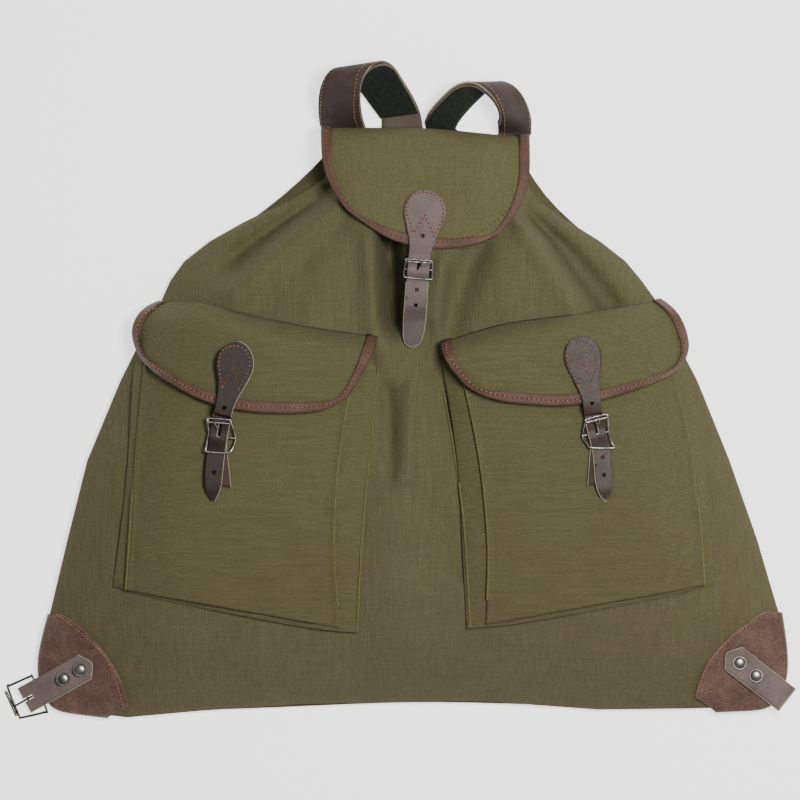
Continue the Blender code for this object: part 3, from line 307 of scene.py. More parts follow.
def metal(name, light, dark, roughness):
    """Plated steel that has darkened in its hollows."""
    finish, tree, shader = new_finish(name, roughness, Metallic=1.0)
    cloud = pattern(tree, (5, 5, 5), 3.0, 0.6)
    rough = add_node(tree, "ShaderNodeMapRange", None, {
        0: cloud, 1: 0.3, 2: 0.7, 3: roughness + 0.1, 4: roughness - 0.08})
    cover(tree, shader, two_tone(tree, cloud, dark, light), rough)
    return finish


def thread(name, light, dark):
    """Waxed linen thread: twisted, so it varies along its length."""
    finish, tree, shader = new_finish(name, 0.7, Sheen_Weight=0.1)
    cover(tree, shader, two_tone(tree, pattern(tree, (1.2, 1.2, 1.2), 1.0), dark, light))
    return finish


# Old nickel plate is warm and half bright. The caps of the rivets are rubbed brightest.
NICKEL = metal("Antique nickel on steel", "#b3b0a8", "#66625d", 0.32)
WORN_NICKEL = metal("Antique nickel, worn dark", "#6e6a64", "#35322f", 0.4)
RIVET_NICKEL = metal("Antique nickel rivet caps", "#9a938c", "#5d5650", 0.28)
# Thread is dull beside the waxed hide. A needle hole is a dark dot.
ORANGE_THREAD = thread("Orange-brown linen thread", "#b4764a", "#8a4f30")
TAN_THREAD = thread("Tan linen thread", "#a08468", "#7c624c")
OLIVE_THREAD = thread("Olive cotton thread", "#6b6840", "#4d4a2e")
NEEDLE_HOLE = thread("Needle holes in leather", "#3a2019", "#2a1712")
print("finishes in all:", len(bpy.data.materials))

# %% [markdown]
# ## From a faceted solid to soft cloth
#
# The solids arrive as loose triangles. Cloth and leather need a smooth surface, so each
# solid is copied, its triangles are joined back into four-sided faces, its sharp edges
# are creased, and a Subdivision Surface rounds it. The crease keeps the thin rim of a
# strap crisp while its face bends smoothly. The narrow faces of the rim take a second
# finish, such as the pale cut edge of hide.

# %% Helpers for soft copies
SHARP = math.radians(50)
SHADE_SHARP = math.radians(55)
RIM_WIDTH = 0.0032
HOLE_SPAN = 0.006


def cage_of(node, creases, wall):
    """A merged copy of a solid with four-sided faces, creased edges and marked rims."""
    bm = bmesh.new()
    bm.from_mesh(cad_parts[node].data)
    bmesh.ops.remove_doubles(bm, verts=bm.verts[:], dist=2e-6)
    bmesh.ops.join_triangles(bm, faces=bm.faces[:], angle_face_threshold=SHARP,
                             angle_shape_threshold=math.pi)
    crease = bm.edges.layers.float.new("crease_edge")
    for edge in bm.edges:
        if len(edge.link_faces) == 2 and edge.calc_face_angle(0.0) > SHARP and creases:
            edge[crease] = 1.0
    for face in bm.faces:
        if len(face.edges) != 4 or not wall:
            continue
        for k in (0, 1):
            one, other, between = face.edges[k], face.edges[k + 2], face.edges[1 - k]
            if one[crease] and other[crease] and between.calc_length() < wall:
                face.material_index = 1
    # A small ring of such faces is the wall of a punched hole, which stays dark.
    left = {face for face in bm.faces if face.material_index == 1}
    while left:
        group, reached = [], [left.pop()]
        while reached:
            face = reached.pop()
            group.append(face)
            near = {other for edge in face.edges for other in edge.link_faces} & left
            left -= near
            reached += near
        corners = [vertex.co for face in group for vertex in face.verts]
        if max((corner - corners[0]).length for corner in corners) < HOLE_SPAN:
            for face in group:
                face.material_index = 0
    return bm


def settle(obj, finishes, body, stands_for=()):
    """Give a finished piece its materials, its body and the solids that it stands for."""
    # Clearing the list of materials also sets every face back to the first one.
    kinds = [min(face.material_index, len(finishes) - 1) for face in obj.data.polygons]
    obj.data.materials.clear()
    for finish in finishes:
        obj.data.materials.append(finish)
    obj.data.polygons.foreach_set("material_index", kinds)
    obj.data.shade_smooth()
    obj.data.set_sharp_from_angle(angle=SHADE_SHARP)
    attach(obj, body)
    if stands_for:
        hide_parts(*stands_for)
    return obj


def plain(obj):
    """Turn an object's modifiers into a plain mesh."""
    seen = obj.evaluated_get(bpy.context.evaluated_depsgraph_get())
    baked = bpy.data.meshes.new_from_object(seen)
    obj.modifiers.clear()
    obj.data = baked
    return obj


def corners_of(mesh):
    """A mesh's points as an array."""
    flat = np.empty(len(mesh.vertices) * 3)
    mesh.vertices.foreach_get("co", flat)
    return flat.reshape(-1, 3)


def move_corners(mesh, points):
    """Put a mesh's points in new places."""
    mesh.vertices.foreach_set("co", points.ravel())
    mesh.update()


def soft_copy(node, finishes, levels=3, creases=True, shape=None):
    """A smooth copy of a solid; shape moves its points once it is fine."""
    bm = cage_of(node, creases, RIM_WIDTH if len(finishes) > 1 else 0.0)
    mesh = bpy.data.meshes.new(f"{node}_soft")
    bm.to_mesh(mesh)
    bm.free()
    obj = add_object(mesh.name, mesh)
    smooth = obj.modifiers.new("Smooth", "SUBSURF")
    smooth.levels = smooth.render_levels = levels
    bpy.context.view_layer.update()
    plain(obj)
    if shape:
        move_corners(obj.data, shape(corners_of(obj.data)))
    return settle(obj, finishes, BAG, (node,))


def smooth_step(t):
    """A soft ramp from 0 to 1."""
    t = np.clip(t, 0.0, 1.0)
    return t * t * (3.0 - 2.0 * t)


def wrinkles(seed, height, sizes):
    """Soft random dents: a few waves in seeded directions, the same on each run."""
    random = np.random.default_rng(seed)
    waves = [(random.uniform(0, 2 * math.pi), random.uniform(0, 2 * math.pi), size)
             for size in sizes for _ in range(5)]

    def shape(points):
        lift = np.zeros(len(points))
        for turn, start, size in waves:
            along = points[:, 0] * math.cos(turn) + points[:, 1] * math.sin(turn)
            lift += np.sin(along * 2 * math.pi / size + start + 1.7 * np.sin(points[:, 0] / size + turn))
        moved = points.copy()
        moved[:, 2] += height * lift / math.sqrt(len(waves))
        return moved

    return shape


print("soft copy helpers ready")

# %% [markdown]
# ## The sack
#
# The sack is one gathered bag of canvas: low and full at the bottom, drawn together at
# the mouth. It could be draped by simulation, but the folds of the real one fan out from
# the mouth in known places, so its front is a surface with a rule: a pillow profile
# between the side seams, plus ridges and valleys along straight lines. A cloth settles
# between them, so each fold widens towards its lower end.

# %% The sack's outline and folds
# Each row is a place up the bag, its left and right side seam there, and its crown's height.
BAG_ROWS = (
    (-298, -302, 322, 62), (-290, -311, 331, 62), (-279, -320, 341, 62), (-262, -327, 349, 62),
    (-240, -326, 349, 62), (-209, -318, 344, 63), (-137, -301, 323, 64), (-65, -283, 298, 64),
    (7, -253, 269, 63), (43, -235, 250, 62), (79, -216, 232, 61), (97, -208, 219, 60),
    (115, -195, 204, 58), (133, -172, 181, 56), (151, -140, 152, 54), (169, -102, 126, 51),
    (190, -68, 112, 47), (214, -63, 106, 43), (230, -63, 106, 42),
)
BOTTOM_SEAM = ((-311, -290), (-247, -298), (-180, -292), (-90, -286), (70, -283), (180, -291),
               (255, -290), (331, -288))
CORNERS = ((-318, -286, 1.0), (341, -285, 5.9))
# x and y where a fold starts and ends, its width there and there, and its height.
FOLDS = (
    (-56, 166, -148, 88, 10, 15, 10.5), (-66, 184, -146, 118, 11, 16, -21.0),
    (104, 154, 158, 74, 10, 14, 10.5), (122, 154, 184, 78, 11, 16, -21.0),
    (-9, 130, -6, 66, 9, 11, -40.0), (-28, 128, -14, 30, 10, 14, 9.0),
    (38, 108, 31, 30, 8, 9, 8.5), (10, 0, 4, -74, 9, 12, 6.0),
    (68, 124, 40, 54, 13, 18, -15.0), (-12, -5, -9, -68, 7, 11, -7.0),
    (26, 48, 41, -22, 8, 12, -7.0), (-40, 196, -56, 150, 10, 12, -5.0),
    (2, 205, -8, 150, 9, 9, 4.0), (60, 205, 66, 140, 10, 10, 4.0),
    (85, 200, 96, 150, 10, 10, -5.0),
    (-90, 120, -150, 40, 14, 24, -3.0), (-60, 110, -75, 50, 14, 22, 2.5),
    (95, 110, 110, 40, 14, 22, 2.5), (150, 100, 190, 60, 12, 20, -2.5),
    (0, -90, -8, -230, 14, 26, 2.5), (22, -60, 30, -200, 12, 24, -2.5),
    (-30, -80, -40, -250, 12, 24, -2.0), (-255, -40, -290, -200, 16, 28, 3.0),
    (280, -40, 315, -190, 16, 28, 3.0), (-200, -230, -60, -262, 14, 20, 2.0),
    (60, -262, 220, -240, 14, 20, 2.0), (-110, -240, 60, -270, 9, 14, -1.5),
)
LOWEST = -290.0
LENGTH = 504.0
CANVAS_WALL = 1.6
BACK_TOP = 6.9
GAP = 0.4
# How far the cloth rounds off in from the sides and up from the bottom, over what width the
# folds die out at the seams, and how widely a bottom corner rises and flattens.
SIDE_ROUND, BOTTOM_ROUND, FOLD_FADE = 125.0, 105.0, 40.0
CORNER_RISE, CORNER_FLAT, CORNER_LOSS = 75.0, 95.0, 0.45
print("folds in the sack:", len(FOLDS))

# %% The sack's front as a surface


def column(table, place):
    """One column of a table as an array."""
    return np.array([row[place] for row in table], float)


def side_seams(y):
    """Left and right edge of the sack at a height up the bag, in millimetres."""
    at = column(BAG_ROWS, 0)
    return np.interp(y, at, column(BAG_ROWS, 1)), np.interp(y, at, column(BAG_ROWS, 2))


def bottom_seam(x):
    """Where the bottom seam lies at a place across the bag, in millimetres."""
    return np.interp(x, column(BOTTOM_SEAM, 0), column(BOTTOM_SEAM, 1))


def near_corners(x, y, reach, *heights):
    """A soft bump round each bottom corner."""
    return sum(height * np.exp(-((x - cx) ** 2 + (y - cy) ** 2) / reach ** 2)
               for (cx, cy, _), height in zip(CORNERS, heights))


def back_rise(x, y):
    """How far the back lifts off the floor near the two bottom corners."""
    return near_corners(x, y, CORNER_RISE, *(most for _, _, most in CORNERS))


def pillow(t):
    """The rounded rise of a stuffed edge, from 0 at its seam to 1."""
    return (1 - (1 - np.clip(t, 0, 1)) ** 2) ** 0.8


def sack_height(x, y):
    """Height of the sack's front, with its gathers."""
    left, right = side_seams(y)
    inside = np.clip(np.minimum(x - left, right - x), 0.0, None)
    across = pillow(inside / np.minimum(SIDE_ROUND, 0.5 * (right - left)))
    upward = pillow((y - bottom_seam(x)) / BOTTOM_ROUND)
    crown = np.interp(y, column(BAG_ROWS, 0), column(BAG_ROWS, 3))
    flat = 1.0 - CORNER_LOSS * near_corners(x, y, CORNER_FLAT, 1.0, 1.0)
    seam = BACK_TOP + GAP + CANVAS_WALL
    height = seam + (crown - seam) * across * upward * flat
    folds = np.zeros(np.shape(x))
    for x0, y0, x1, y1, start, stop, lift in FOLDS:
        length = math.hypot(x1 - x0, y1 - y0)
        wx, wy = (x1 - x0) / length, (y1 - y0) / length
        along = (x - x0) * wx + (y - y0) * wy
        off = (x - x0) * wy - (y - y0) * wx
        width = start + (stop - start) * np.clip(along / length, 0, 1)
        past = np.maximum(0.0, np.maximum(-along, along - length))
        folds += lift * np.exp(-(off / width) ** 2 - (past / (1.5 * width)) ** 2)
    return height + folds * smooth_step(inside / FOLD_FADE) + back_rise(x, y)


# Points lie closer together at the bottom and at the side seams, where the cloth turns most.
ROWS, COLUMNS = 210, 200
rise = np.linspace(0.0, 1.0, ROWS) ** 1.12
nominal = LOWEST + LENGTH * rise
share = np.linspace(-1.0, 1.0, COLUMNS)
share = share - 0.30 * np.sin(2 * math.pi * share) / (2 * math.pi)
left, right = side_seams(nominal)
grid_x = ((left + right) / 2)[:, None] + ((right - left) / 2)[:, None] * share[None, :]
grid_y = nominal[:, None] + (bottom_seam(grid_x) - LOWEST) * (1 - rise[:, None]) ** 3
smooth_grid = np.dstack([grid_x, grid_y, sack_height(grid_x, grid_y)]) * MM
crumple = wrinkles(7, 0.0007, (0.055, 0.09, 0.15))
crumpled = crumple(smooth_grid.reshape(-1, 3)).reshape(smooth_grid.shape)
to_edge = np.minimum(1 - np.abs(share)[None, :], np.minimum(rise, 1 - rise)[:, None] * 2)
outer = smooth_grid + (crumpled - smooth_grid) * smooth_step(to_edge * 12)[..., None]
print("sack surface:", ROWS, "by", COLUMNS, "points")

# %% The sack's front as a walled piece


def normals_of(grid):
    """Unit normals of a grid of points."""
    facing = np.cross(np.gradient(grid, axis=1), np.gradient(grid, axis=0))
    return facing / np.linalg.norm(facing, axis=2, keepdims=True)


def walled(name, outer, inner):
    """Close two grids of points into one piece with a rim."""
    rows, cols = outer.shape[:2]
    points = np.concatenate([outer.reshape(-1, 3), inner.reshape(-1, 3)])
    cell = np.arange(rows * cols).reshape(rows, cols)
    a, b, c, d = cell[:-1, :-1].ravel(), cell[:-1, 1:].ravel(), cell[1:, 1:].ravel(), cell[1:, :-1].ravel()
    top = np.column_stack([a, b, c, d])
    low = np.column_stack([d, c, b, a]) + rows * cols
    ring = np.concatenate([cell[0, :], cell[1:, -1], cell[-1, -2::-1], cell[-2:0:-1, 0]])
    after = np.roll(ring, -1)
    rim = np.column_stack([after, ring, ring + rows * cols, after + rows * cols])
    mesh = bpy.data.meshes.new(name)
    mesh.from_pydata(points.tolist(), [], np.concatenate([top, low, rim]).tolist())
    mesh.update()
    return add_object(name, mesh)


inner = outer - CANVAS_WALL * MM * normals_of(outer)
inner[..., 2] = np.maximum(inner[..., 2], (BACK_TOP + GAP + back_rise(grid_x, grid_y)) * MM)
sack = walled("sack_front", outer, inner)
settle(sack, [BODY_CANVAS], BAG, ("canvas_front",))
soft_copy("canvas_back", [BODY_CANVAS], 2)
print("sack front:", len(sack.data.polygons), "faces")

# %% [markdown]
# ## Pockets, flaps and lid
#
# These are flat cut pieces that stand off the sack. Their solids already roll over in the
# right places, so soft copies of them are enough, with shallow dents to show that the
# cloth is limp. A pocket's front edges are pinched and sewn into a welt, which is a low
# ridge along each side: the points near the edge line are lifted by a narrow bell curve.

# %% Pockets
POCKET_EDGES = {
    "left": (((-246, -181), (-242, -125), (-238, -60), (-232, 10), (-227, 54)),
             ((-54, -215), (-59, -150), (-57, -85), (-48, -18), (-38, 26))),
    "right": (((77, -212), (79, -145), (73, -75), (62, -15), (52, 24)),
              ((273, -177), (269, -120), (263, -55), (249, 8), (234, 55))),
}
WELT_HEIGHT = 1.3
WELT_HALF = 1.7
WELT_INSET = 2.0


def near_line(points, line):
    """Distance of each point from a line in plan, in millimetres."""
    line = np.asarray(line, float)
    best = np.full(len(points), 1e9)
    spots = points[:, :2] / MM
    for a, b in zip(line, line[1:]):
        way = b - a
        t = np.clip(((spots - a) @ way) / (way @ way), 0, 1)
        best = np.minimum(best, np.linalg.norm(spots - a - t[:, None] * way, axis=1))
    return best


def with_welts(side, seed):
    """Dents all over a pocket front and a raised welt along its two sides."""
    dents = wrinkles(seed, 0.0006, (0.05, 0.09))

    def shape(points):
        moved = dents(points)
        for line, inward in zip(POCKET_EDGES[side], (1, -1)):
            line = np.array(line, float)
            line[:, 0] += inward * WELT_INSET
            moved[:, 2] += WELT_HEIGHT * MM * np.exp(-(near_line(points, line) / WELT_HALF) ** 2)
        return moved

    return shape


fronts = {}
gussets = []
for seed, side in enumerate(("left", "right")):
    fronts[side] = soft_copy(f"pocket_front_{side}", [POCKET_CANVAS], 4,
                             shape=with_welts(side, 11 + seed))
    gussets.append(soft_copy(f"pocket_gusset_{side}", [POCKET_CANVAS],
                             shape=wrinkles(21 + seed, 0.0004, (0.04, 0.07))))
print("pocket fronts:", [len(p.data.polygons) for p in fronts.values()])

# %% Flaps, lid and their bindings
flaps = {}
for seed, side in enumerate(("left", "right")):
    dents = wrinkles(31 + seed, 0.0005, (0.06, 0.10))
    flaps[side] = soft_copy(f"flap_{side}", [POCKET_CANVAS], shape=dents)
    flaps[f"{side}_binding"] = soft_copy(
        f"flap_binding_{side}", [BINDING_LEATHER], 2, shape=dents)
dents = wrinkles(41, 0.0004, (0.07, 0.12))
flaps["lid"] = soft_copy("lid", [LID_CANVAS], shape=dents)
flaps["lid_binding"] = soft_copy("lid_binding", [BINDING_LEATHER], 2, shape=dents)

# Each was cut flat with a straight sewn edge and a rounded free one.
print("flaps, lid and bindings:", len(flaps))

# %% [markdown]
# ## Leather straps, tabs and corner patches
#
# Strap leather is cut, so its face and its rim meet in a crisp edge: the creases in the
# soft copy do that, and the rim takes the finish of raw hide. The counter straps, which
# hold the buckles, show their unfinished side.

# %% Straps, tabs and patches
# Where the right shoulder strap leaves the lid, its inner edge keeps right of this line.
LEG_Y = (218.0, 224.0, 230.0, 236.3, 246.9)
LEG_X = (70.0, 84.0, 89.0, 88.6, 86.5)


def pull_in(points):
    """Keep the right strap's outer leg narrow beside the lid."""
    spots = points / MM
    leg = (spots[:, 0] > 70) & (spots[:, 1] > LEG_Y[0]) & (spots[:, 1] < LEG_Y[-1])
    spots[leg, 0] = np.maximum(spots[leg, 0], np.interp(spots[leg, 1], LEG_Y, LEG_X))
    return spots * MM


leathers = {}
for key, face in (("lid", LID_LEATHER), ("left", SHADED_LEFT_LEATHER), ("right", POCKET_LEATHER)):
    leathers[f"{key}_strap"] = soft_copy(f"{key}_strap", [face, CUT_EDGE])
    leathers[f"{key}_counter"] = soft_copy(
        f"{key}_counter_strap", [COUNTER_LEATHER, CUT_EDGE])
for side in ("left", "right"):
    leathers[f"tab_{side}"] = soft_copy(f"corner_tab_{side}", [TAB_LEATHER, CUT_EDGE])
    leathers[f"patch_{side}"] = soft_copy(
        f"corner_patch_{side}", [PATCH_LEATHER, PATCH_EDGE])
    soft_copy(f"lower_strap_{side}", [SHOULDER_LEATHER, CUT_EDGE], 2)
    leathers[f"shoulder_{side}"] = soft_copy(
        f"shoulder_strap_{side}", [SHOULDER_LEATHER, CUT_EDGE, FLESH_SIDE], shape=pull_in)
    soft_copy(f"shoulder_felt_{side}", [FELT, FLESH_SIDE], shape=pull_in)

# The inner side of the left strap shows below its felt, beside the lid's upper edge.
BARE_FROM = plan([(371, 190)])[0] + np.array([0.0, 0.04])
for face in leathers["shoulder_left"].data.polygons:
    if face.center.x > BARE_FROM[0] and face.center.y > BARE_FROM[1] and face.normal.z > 0.2:
        face.material_index = 2
print("leather pieces with seams or beads:", len(leathers))

# %% [markdown]
# ## The hidden corner buckle
#
# The right corner's buckle lies between its tab and the strap below the bag, so little of
# it is seen. Its solid is a small lattice of square bars, and a Subdivision Surface with
# no creases turns a square bar into a round one. That also makes the bar thinner, so its
# points are moved outwards a little afterwards.

# %% The hidden buckle
LOST_THICKNESS = 0.15
hidden = soft_copy("corner_buckle_hidden", [NICKEL], 3, creases=False)
outwards = np.empty(len(hidden.data.vertices) * 3)
hidden.data.vertices.foreach_get("normal", outwards)
move_corners(hidden.data, corners_of(hidden.data) + outwards.reshape(-1, 3) * LOST_THICKNESS * MM)
print("hidden buckle:", len(hidden.data.polygons), "faces")

# %% [markdown]
# ## Rivets with Geometry Nodes
#
# The four rivet caps are the same turned part, so one profile is built by nodes and set
# on four points. A dome with a flat rim and a shallow groove catches the light as a cap
# does. Instances are realised at the end, so that the model can be exported.

# %% Rivet tree
RIVET_RADIUS = 0.0056
RIVET_HEIGHT = 0.0019
RIVET_BEAD = 0.0005


def new_tree(name, sockets):
    """An empty Geometry Nodes tree with its group sockets."""
    tree = bpy.data.node_groups.new(name, "GeometryNodeTree")
    tree.interface.new_socket("Geometry", in_out="INPUT", socket_type="NodeSocketGeometry")
    tree.interface.new_socket("Geometry", in_out="OUTPUT", socket_type="NodeSocketGeometry")
    for label, kind, value in sockets:
        socket = tree.interface.new_socket(label, in_out="INPUT", socket_type=kind)
        if value is not None:
            socket.default_value = value
    source = add_node(tree, "NodeGroupInput")
    return tree, source.outputs, add_node(tree, "NodeGroupOutput")


def run_tree(name, tree, points, edges, values):
    """Run a tree on a plain mesh of points and edges, and keep the result as a mesh."""
    mesh = bpy.data.meshes.new(name)
    mesh.from_pydata([tuple(p) for p in points], edges, [])
    obj = add_object(name, mesh)
    made = obj.modifiers.new("Nodes", "NODES")
    made.node_group = tree
    for item in tree.interface.items_tree:
        if item.in_out == "INPUT" and item.name in values:
            made[item.identifier] = values[item.name]
    bpy.context.view_layer.update()
    return plain(obj)


def end_tree(tree, geometry, finish, result):
    """End a tree with real geometry in its finish, because the export drops instances."""
    real = add_node(tree, "GeometryNodeRealizeInstances", None, {"Geometry": geometry})
    done = add_node(tree, "GeometryNodeSetMaterial", None, {"Geometry": real, "Material": finish})
    tree.links.new(done.outputs[0], result.inputs[0])


tree, source, result = new_tree("Rivet caps", (
    ("Radius", "NodeSocketFloat", RIVET_RADIUS), ("Height", "NodeSocketFloat", RIVET_HEIGHT),
    ("Finish", "NodeSocketMaterial", None)))
ball = add_node(tree, "GeometryNodeMeshUVSphere", None, {"Segments": 24, "Rings": 12, "Radius": 1.0})
squash = add_node(tree, "ShaderNodeCombineXYZ", None, {
    "X": source["Radius"], "Y": source["Radius"], "Z": source["Height"]})
dome = add_node(tree, "GeometryNodeTransform", None, {"Geometry": ball, "Scale": squash})
ring_line = add_node(tree, "GeometryNodeCurvePrimitiveCircle", None, {
    "Resolution": 24, "Radius": source["Radius"]})
ring_bead = add_node(tree, "GeometryNodeCurvePrimitiveCircle", None, {
    "Resolution": 6, "Radius": RIVET_BEAD})
ring = add_node(tree, "GeometryNodeCurveToMesh", None, {"Curve": ring_line, "Profile Curve": ring_bead})
cap = add_node(tree, "GeometryNodeJoinGeometry", None, {0: dome})
tree.links.new(ring.outputs[0], cap.inputs[0])
placed = add_node(tree, "GeometryNodeInstanceOnPoints", None, {
    "Points": source["Geometry"], "Instance": cap})
end_tree(tree, placed, source["Finish"], result)

RIVET_NODES = ("rivet_left_1", "rivet_left_2", "rivet_right_1", "rivet_right_2")
spots = [((a + b) / 2).to_2d().to_3d() + Vector((0, 0, a.z)) for a, b in map(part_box, RIVET_NODES)]
rivets = run_tree("rivet_caps", tree, spots, [], {
    "Radius": RIVET_RADIUS, "Height": RIVET_HEIGHT, "Finish": RIVET_NICKEL})
settle(rivets, [RIVET_NICKEL], BAG, RIVET_NODES)
print("rivets:", len(spots), "caps,", len(rivets.data.polygons), "faces")

# %% [markdown]
# ## Bent wire and raised edges with Geometry Nodes
#
# The closing buckles, the free corner buckle, the welts of the pockets and the pale raised
# edges of cut hide are all a thin round section that follows a line. Their paleness on the
# welts and on the lit rims of hide is partly painted highlight. One tree sweeps a
# circle along every line of a mesh. A buckle's heights come from its solid, and no wire may
# sink into the strap that it presses on.

# %% Tube tree
TUBE_TREE, source, result = new_tree("Tube along lines", (
    ("Radius", "NodeSocketFloat", 0.0008), ("Finish", "NodeSocketMaterial", None)))
way = add_node(TUBE_TREE, "GeometryNodeMeshToCurve", None, {"Mesh": source["Geometry"]})
section = add_node(TUBE_TREE, "GeometryNodeCurvePrimitiveCircle", None, {
    "Resolution": 8, "Radius": source["Radius"]})
swept = add_node(TUBE_TREE, "GeometryNodeCurveToMesh", None, {
    "Curve": way, "Profile Curve": section, "Fill Caps": True})
end_tree(TUBE_TREE, swept, source["Finish"], result)


def joined(lines, closed=False):
    """The points and edges of several lines, as one mesh takes them."""
    points, edges = [], []
    for line in lines:
        first, last = len(points), len(points) + len(line) - 1
        points += list(line)
        edges += [(k, k + 1) for k in range(first, last)]
        if closed:
            edges.append((last, first))
    return points, edges


def tubes(name, lines, radius, finish, closed=False, stands_for=(), body=BAG):
    """Round sections along lines of points, as one piece; the radius is in millimetres."""
    made = run_tree(name, TUBE_TREE, *joined(lines, closed), {"Radius": radius * MM, "Finish": finish})
    return settle(made, [finish], body, stands_for)


print("tube tree:", len(TUBE_TREE.nodes), "nodes")

# %% Dropping a line on the pieces


def length_along(line):
    """How far along a line each of its points lies."""
    return np.concatenate([[0.0], np.cumsum(np.linalg.norm(np.diff(line, axis=0), axis=1))])


def even_line(points, step=0.0015):
    """The same line with evenly spaced points."""
    run = length_along(points)
    at = np.linspace(0, run[-1], max(2, int(run[-1] / step)))
    return np.column_stack([np.interp(at, run, points[:, k]) for k in range(points.shape[1])])


def smooth_line(points, step=0.0015):
    """A smooth line through points, with a point every step metres."""
    points = np.asarray(points, float)
    ends = np.vstack([2 * points[0] - points[1], points, 2 * points[-1] - points[-2]])
    dense = [0.5 * (2 * b + (c - a) * t + (2 * a - 5 * b + 4 * c - d) * t ** 2
                    + (3 * b - a - 3 * c + d) * t ** 3)
             for a, b, c, d in zip(ends, ends[1:], ends[2:], ends[3:])
             for t in np.linspace(0, 1, 14)[:-1]]
    return even_line(np.array(dense + [points[-1]]), step)


def inset_line(points, distance):
    """A line moved to its left, seen along it, by a distance in metres."""
    ahead = np.gradient(points, axis=0)
    ahead /= np.linalg.norm(ahead, axis=1, keepdims=True)
    return points + np.column_stack([-ahead[:, 1], ahead[:, 0]]) * distance


def drop(points, pieces, lift=0.0003):
    """Lay a line in plan on the highest of some pieces, seen from above."""
    trees = [BVHTree.FromObject(p, bpy.context.evaluated_depsgraph_get()) for p in pieces]
    laid = []
    for x, y in points:
        hits = [t.ray_cast(Vector((x, y, 1.0)), Vector((0, 0, -1)))[0] for t in trees]
        heights = [h.z for h in hits if h is not None]
        if heights:
            laid.append((x, y, max(heights) + lift))
    return np.array(laid)


print("line helpers ready")

# %% The three closing buckles
# Pixel places of each frame, of the roller beside its top bar and of the prong, the middle
# of the frame, the way down its strap, and how far it reaches up and down that way in mm.
FRAMES = {
    "lid": {
        "frame": ((406.2, 261.5), (407.4, 259.6), (430, 261.5), (431.7, 263), (432.1, 267), (431.6, 277),
                  (430.2, 279.9), (406.6, 278), (404.1, 276), (404.7, 269)),
        "roller": ((407.6, 261.9), (430.9, 263.8)),
        "prong": ((421.8, 262.6), (420.6, 266.5), (418.8, 271.4)),
        "middle": (418.3, 270.2), "way": (-0.095, -0.995), "reach": (9.6, 8.8),
    },
    "left": {
        "frame": ((209.4, 420.6), (210.6, 418.3), (230.2, 419.7), (232, 421.6), (234.8, 429.2),
                  (236.7, 438.2), (235.7, 443.3), (233.2, 449), (228.7, 452.5), (209, 451.3),
                  (207.4, 449.4), (209, 441), (210.6, 432.7), (209.6, 425)),
        "roller": ((209.8, 421.9), (231, 423.4)), "prong": ((215.9, 422.4), (217.6, 425.8), (220.4, 430.2)),
        "middle": (220, 435.8), "way": (-0.10, -0.995), "reach": (14.8, 14.4),
    },
    "right": {
        "frame": ((584.3, 421), (585.4, 418.9), (604, 414.3), (605.9, 416.6), (606.4, 425.6), (606.8, 432),
                  (609.8, 441.5), (612, 446), (610.6, 447.5), (590, 447.2), (586, 443.5), (581.2, 436.3)),
        "roller": ((585.4, 422.2), (605.2, 417.4)), "prong": ((597.6, 419.4), (597.2, 423), (595.3, 427.6)),
        "middle": (596.1, 433), "way": (0.196, -0.981), "reach": (15.0, 13.5),
    },
}
# Radii in millimetres: the wire, the roller, the prong, and the solid's own bars.
WIRE = 0.95
ROLLER = 1.25
PRONG = 0.85
SOLID_WIRE = 1.1
FINE_STEP = 0.0006

for key, facts in FRAMES.items():
    strap = [leathers[f"{key}_strap"]]
    low, high = (corner.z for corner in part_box(f"{key}_buckle"))
    way = np.array(facts["way"]) / np.linalg.norm(facts["way"])
    ring_line = smooth_line(plan(facts["frame"] + facts["frame"][:1]), FINE_STEP)[:-1]
    along = (ring_line - plan([facts["middle"]])[0]) @ way / MM
    reach = facts["reach"]
    # The strap passes under the frame's two outer bars and over the one between them.
    on_top = drop(ring_line[along < -0.8 * reach[0]], strap, WIRE * MM)[:, 2].max()
    on_low = drop(ring_line[along > 0.8 * reach[1]], strap, WIRE * MM)[:, 2].max()
    heel = low + SOLID_WIRE * MM
    levels = (max(on_top, high - 2 * SOLID_WIRE * MM), heel, max(on_low, high - SOLID_WIRE * MM))
    heights = np.interp(along, (-0.85 * reach[0], 0.0, 0.85 * reach[1]), levels)
    frame_line = np.column_stack([ring_line, heights])
    roller = np.column_stack([plan(facts["roller"]), [levels[0] + 0.4 * MM] * 2])
    near = frame_line[np.abs(along) < 1.0]
    bar = np.array([near[np.argmin(near[:, 0])], near[np.argmax(near[:, 0])]])
    prong = drop(smooth_line(plan(facts["prong"]), 0.0008), strap, PRONG * MM)
    prong[:, 2] = prong[:, 2].max() + np.linspace(1.6, 0.0, len(prong)) * MM
    tubes(f"{key}_frame_wire", [frame_line], WIRE, NICKEL, closed=True,
          stands_for=(f"{key}_buckle",))
    tubes(f"{key}_roller", [roller], ROLLER, NICKEL)
    tubes(f"{key}_middle_bar", [bar], WIRE, NICKEL)
    tubes(f"{key}_prong_wire", [prong], PRONG, NICKEL, stands_for=(f"{key}_prong",))
print("closing buckles:", len(FRAMES))

# %% The free buckle of the left corner
CORNER_RING = ((7.6, 687.2), (5.6, 689.6), (16.8, 718.0), (19.4, 719.4), (41.4, 714.2), (44.4, 711.2),
               (31.0, 679.2), (27.6, 678.2))
CORNER_ROLLER = ((3.2, 693.2), (14.4, 718.0))
CORNER_BAR = ((19.6, 687.2), (31.6, 713.6))
CORNER_PRONG = ((12.4, 707.9), (19.5, 703.9), (25.6, 700.4), (31.0, 697.4))
CORNER_FLOOR = 1.4
solid = corners_of(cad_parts["corner_buckle"].data)
level = np.linalg.lstsq(np.column_stack([solid[:, :2], np.ones(len(solid))]), solid[:, 2], rcond=None)[0]


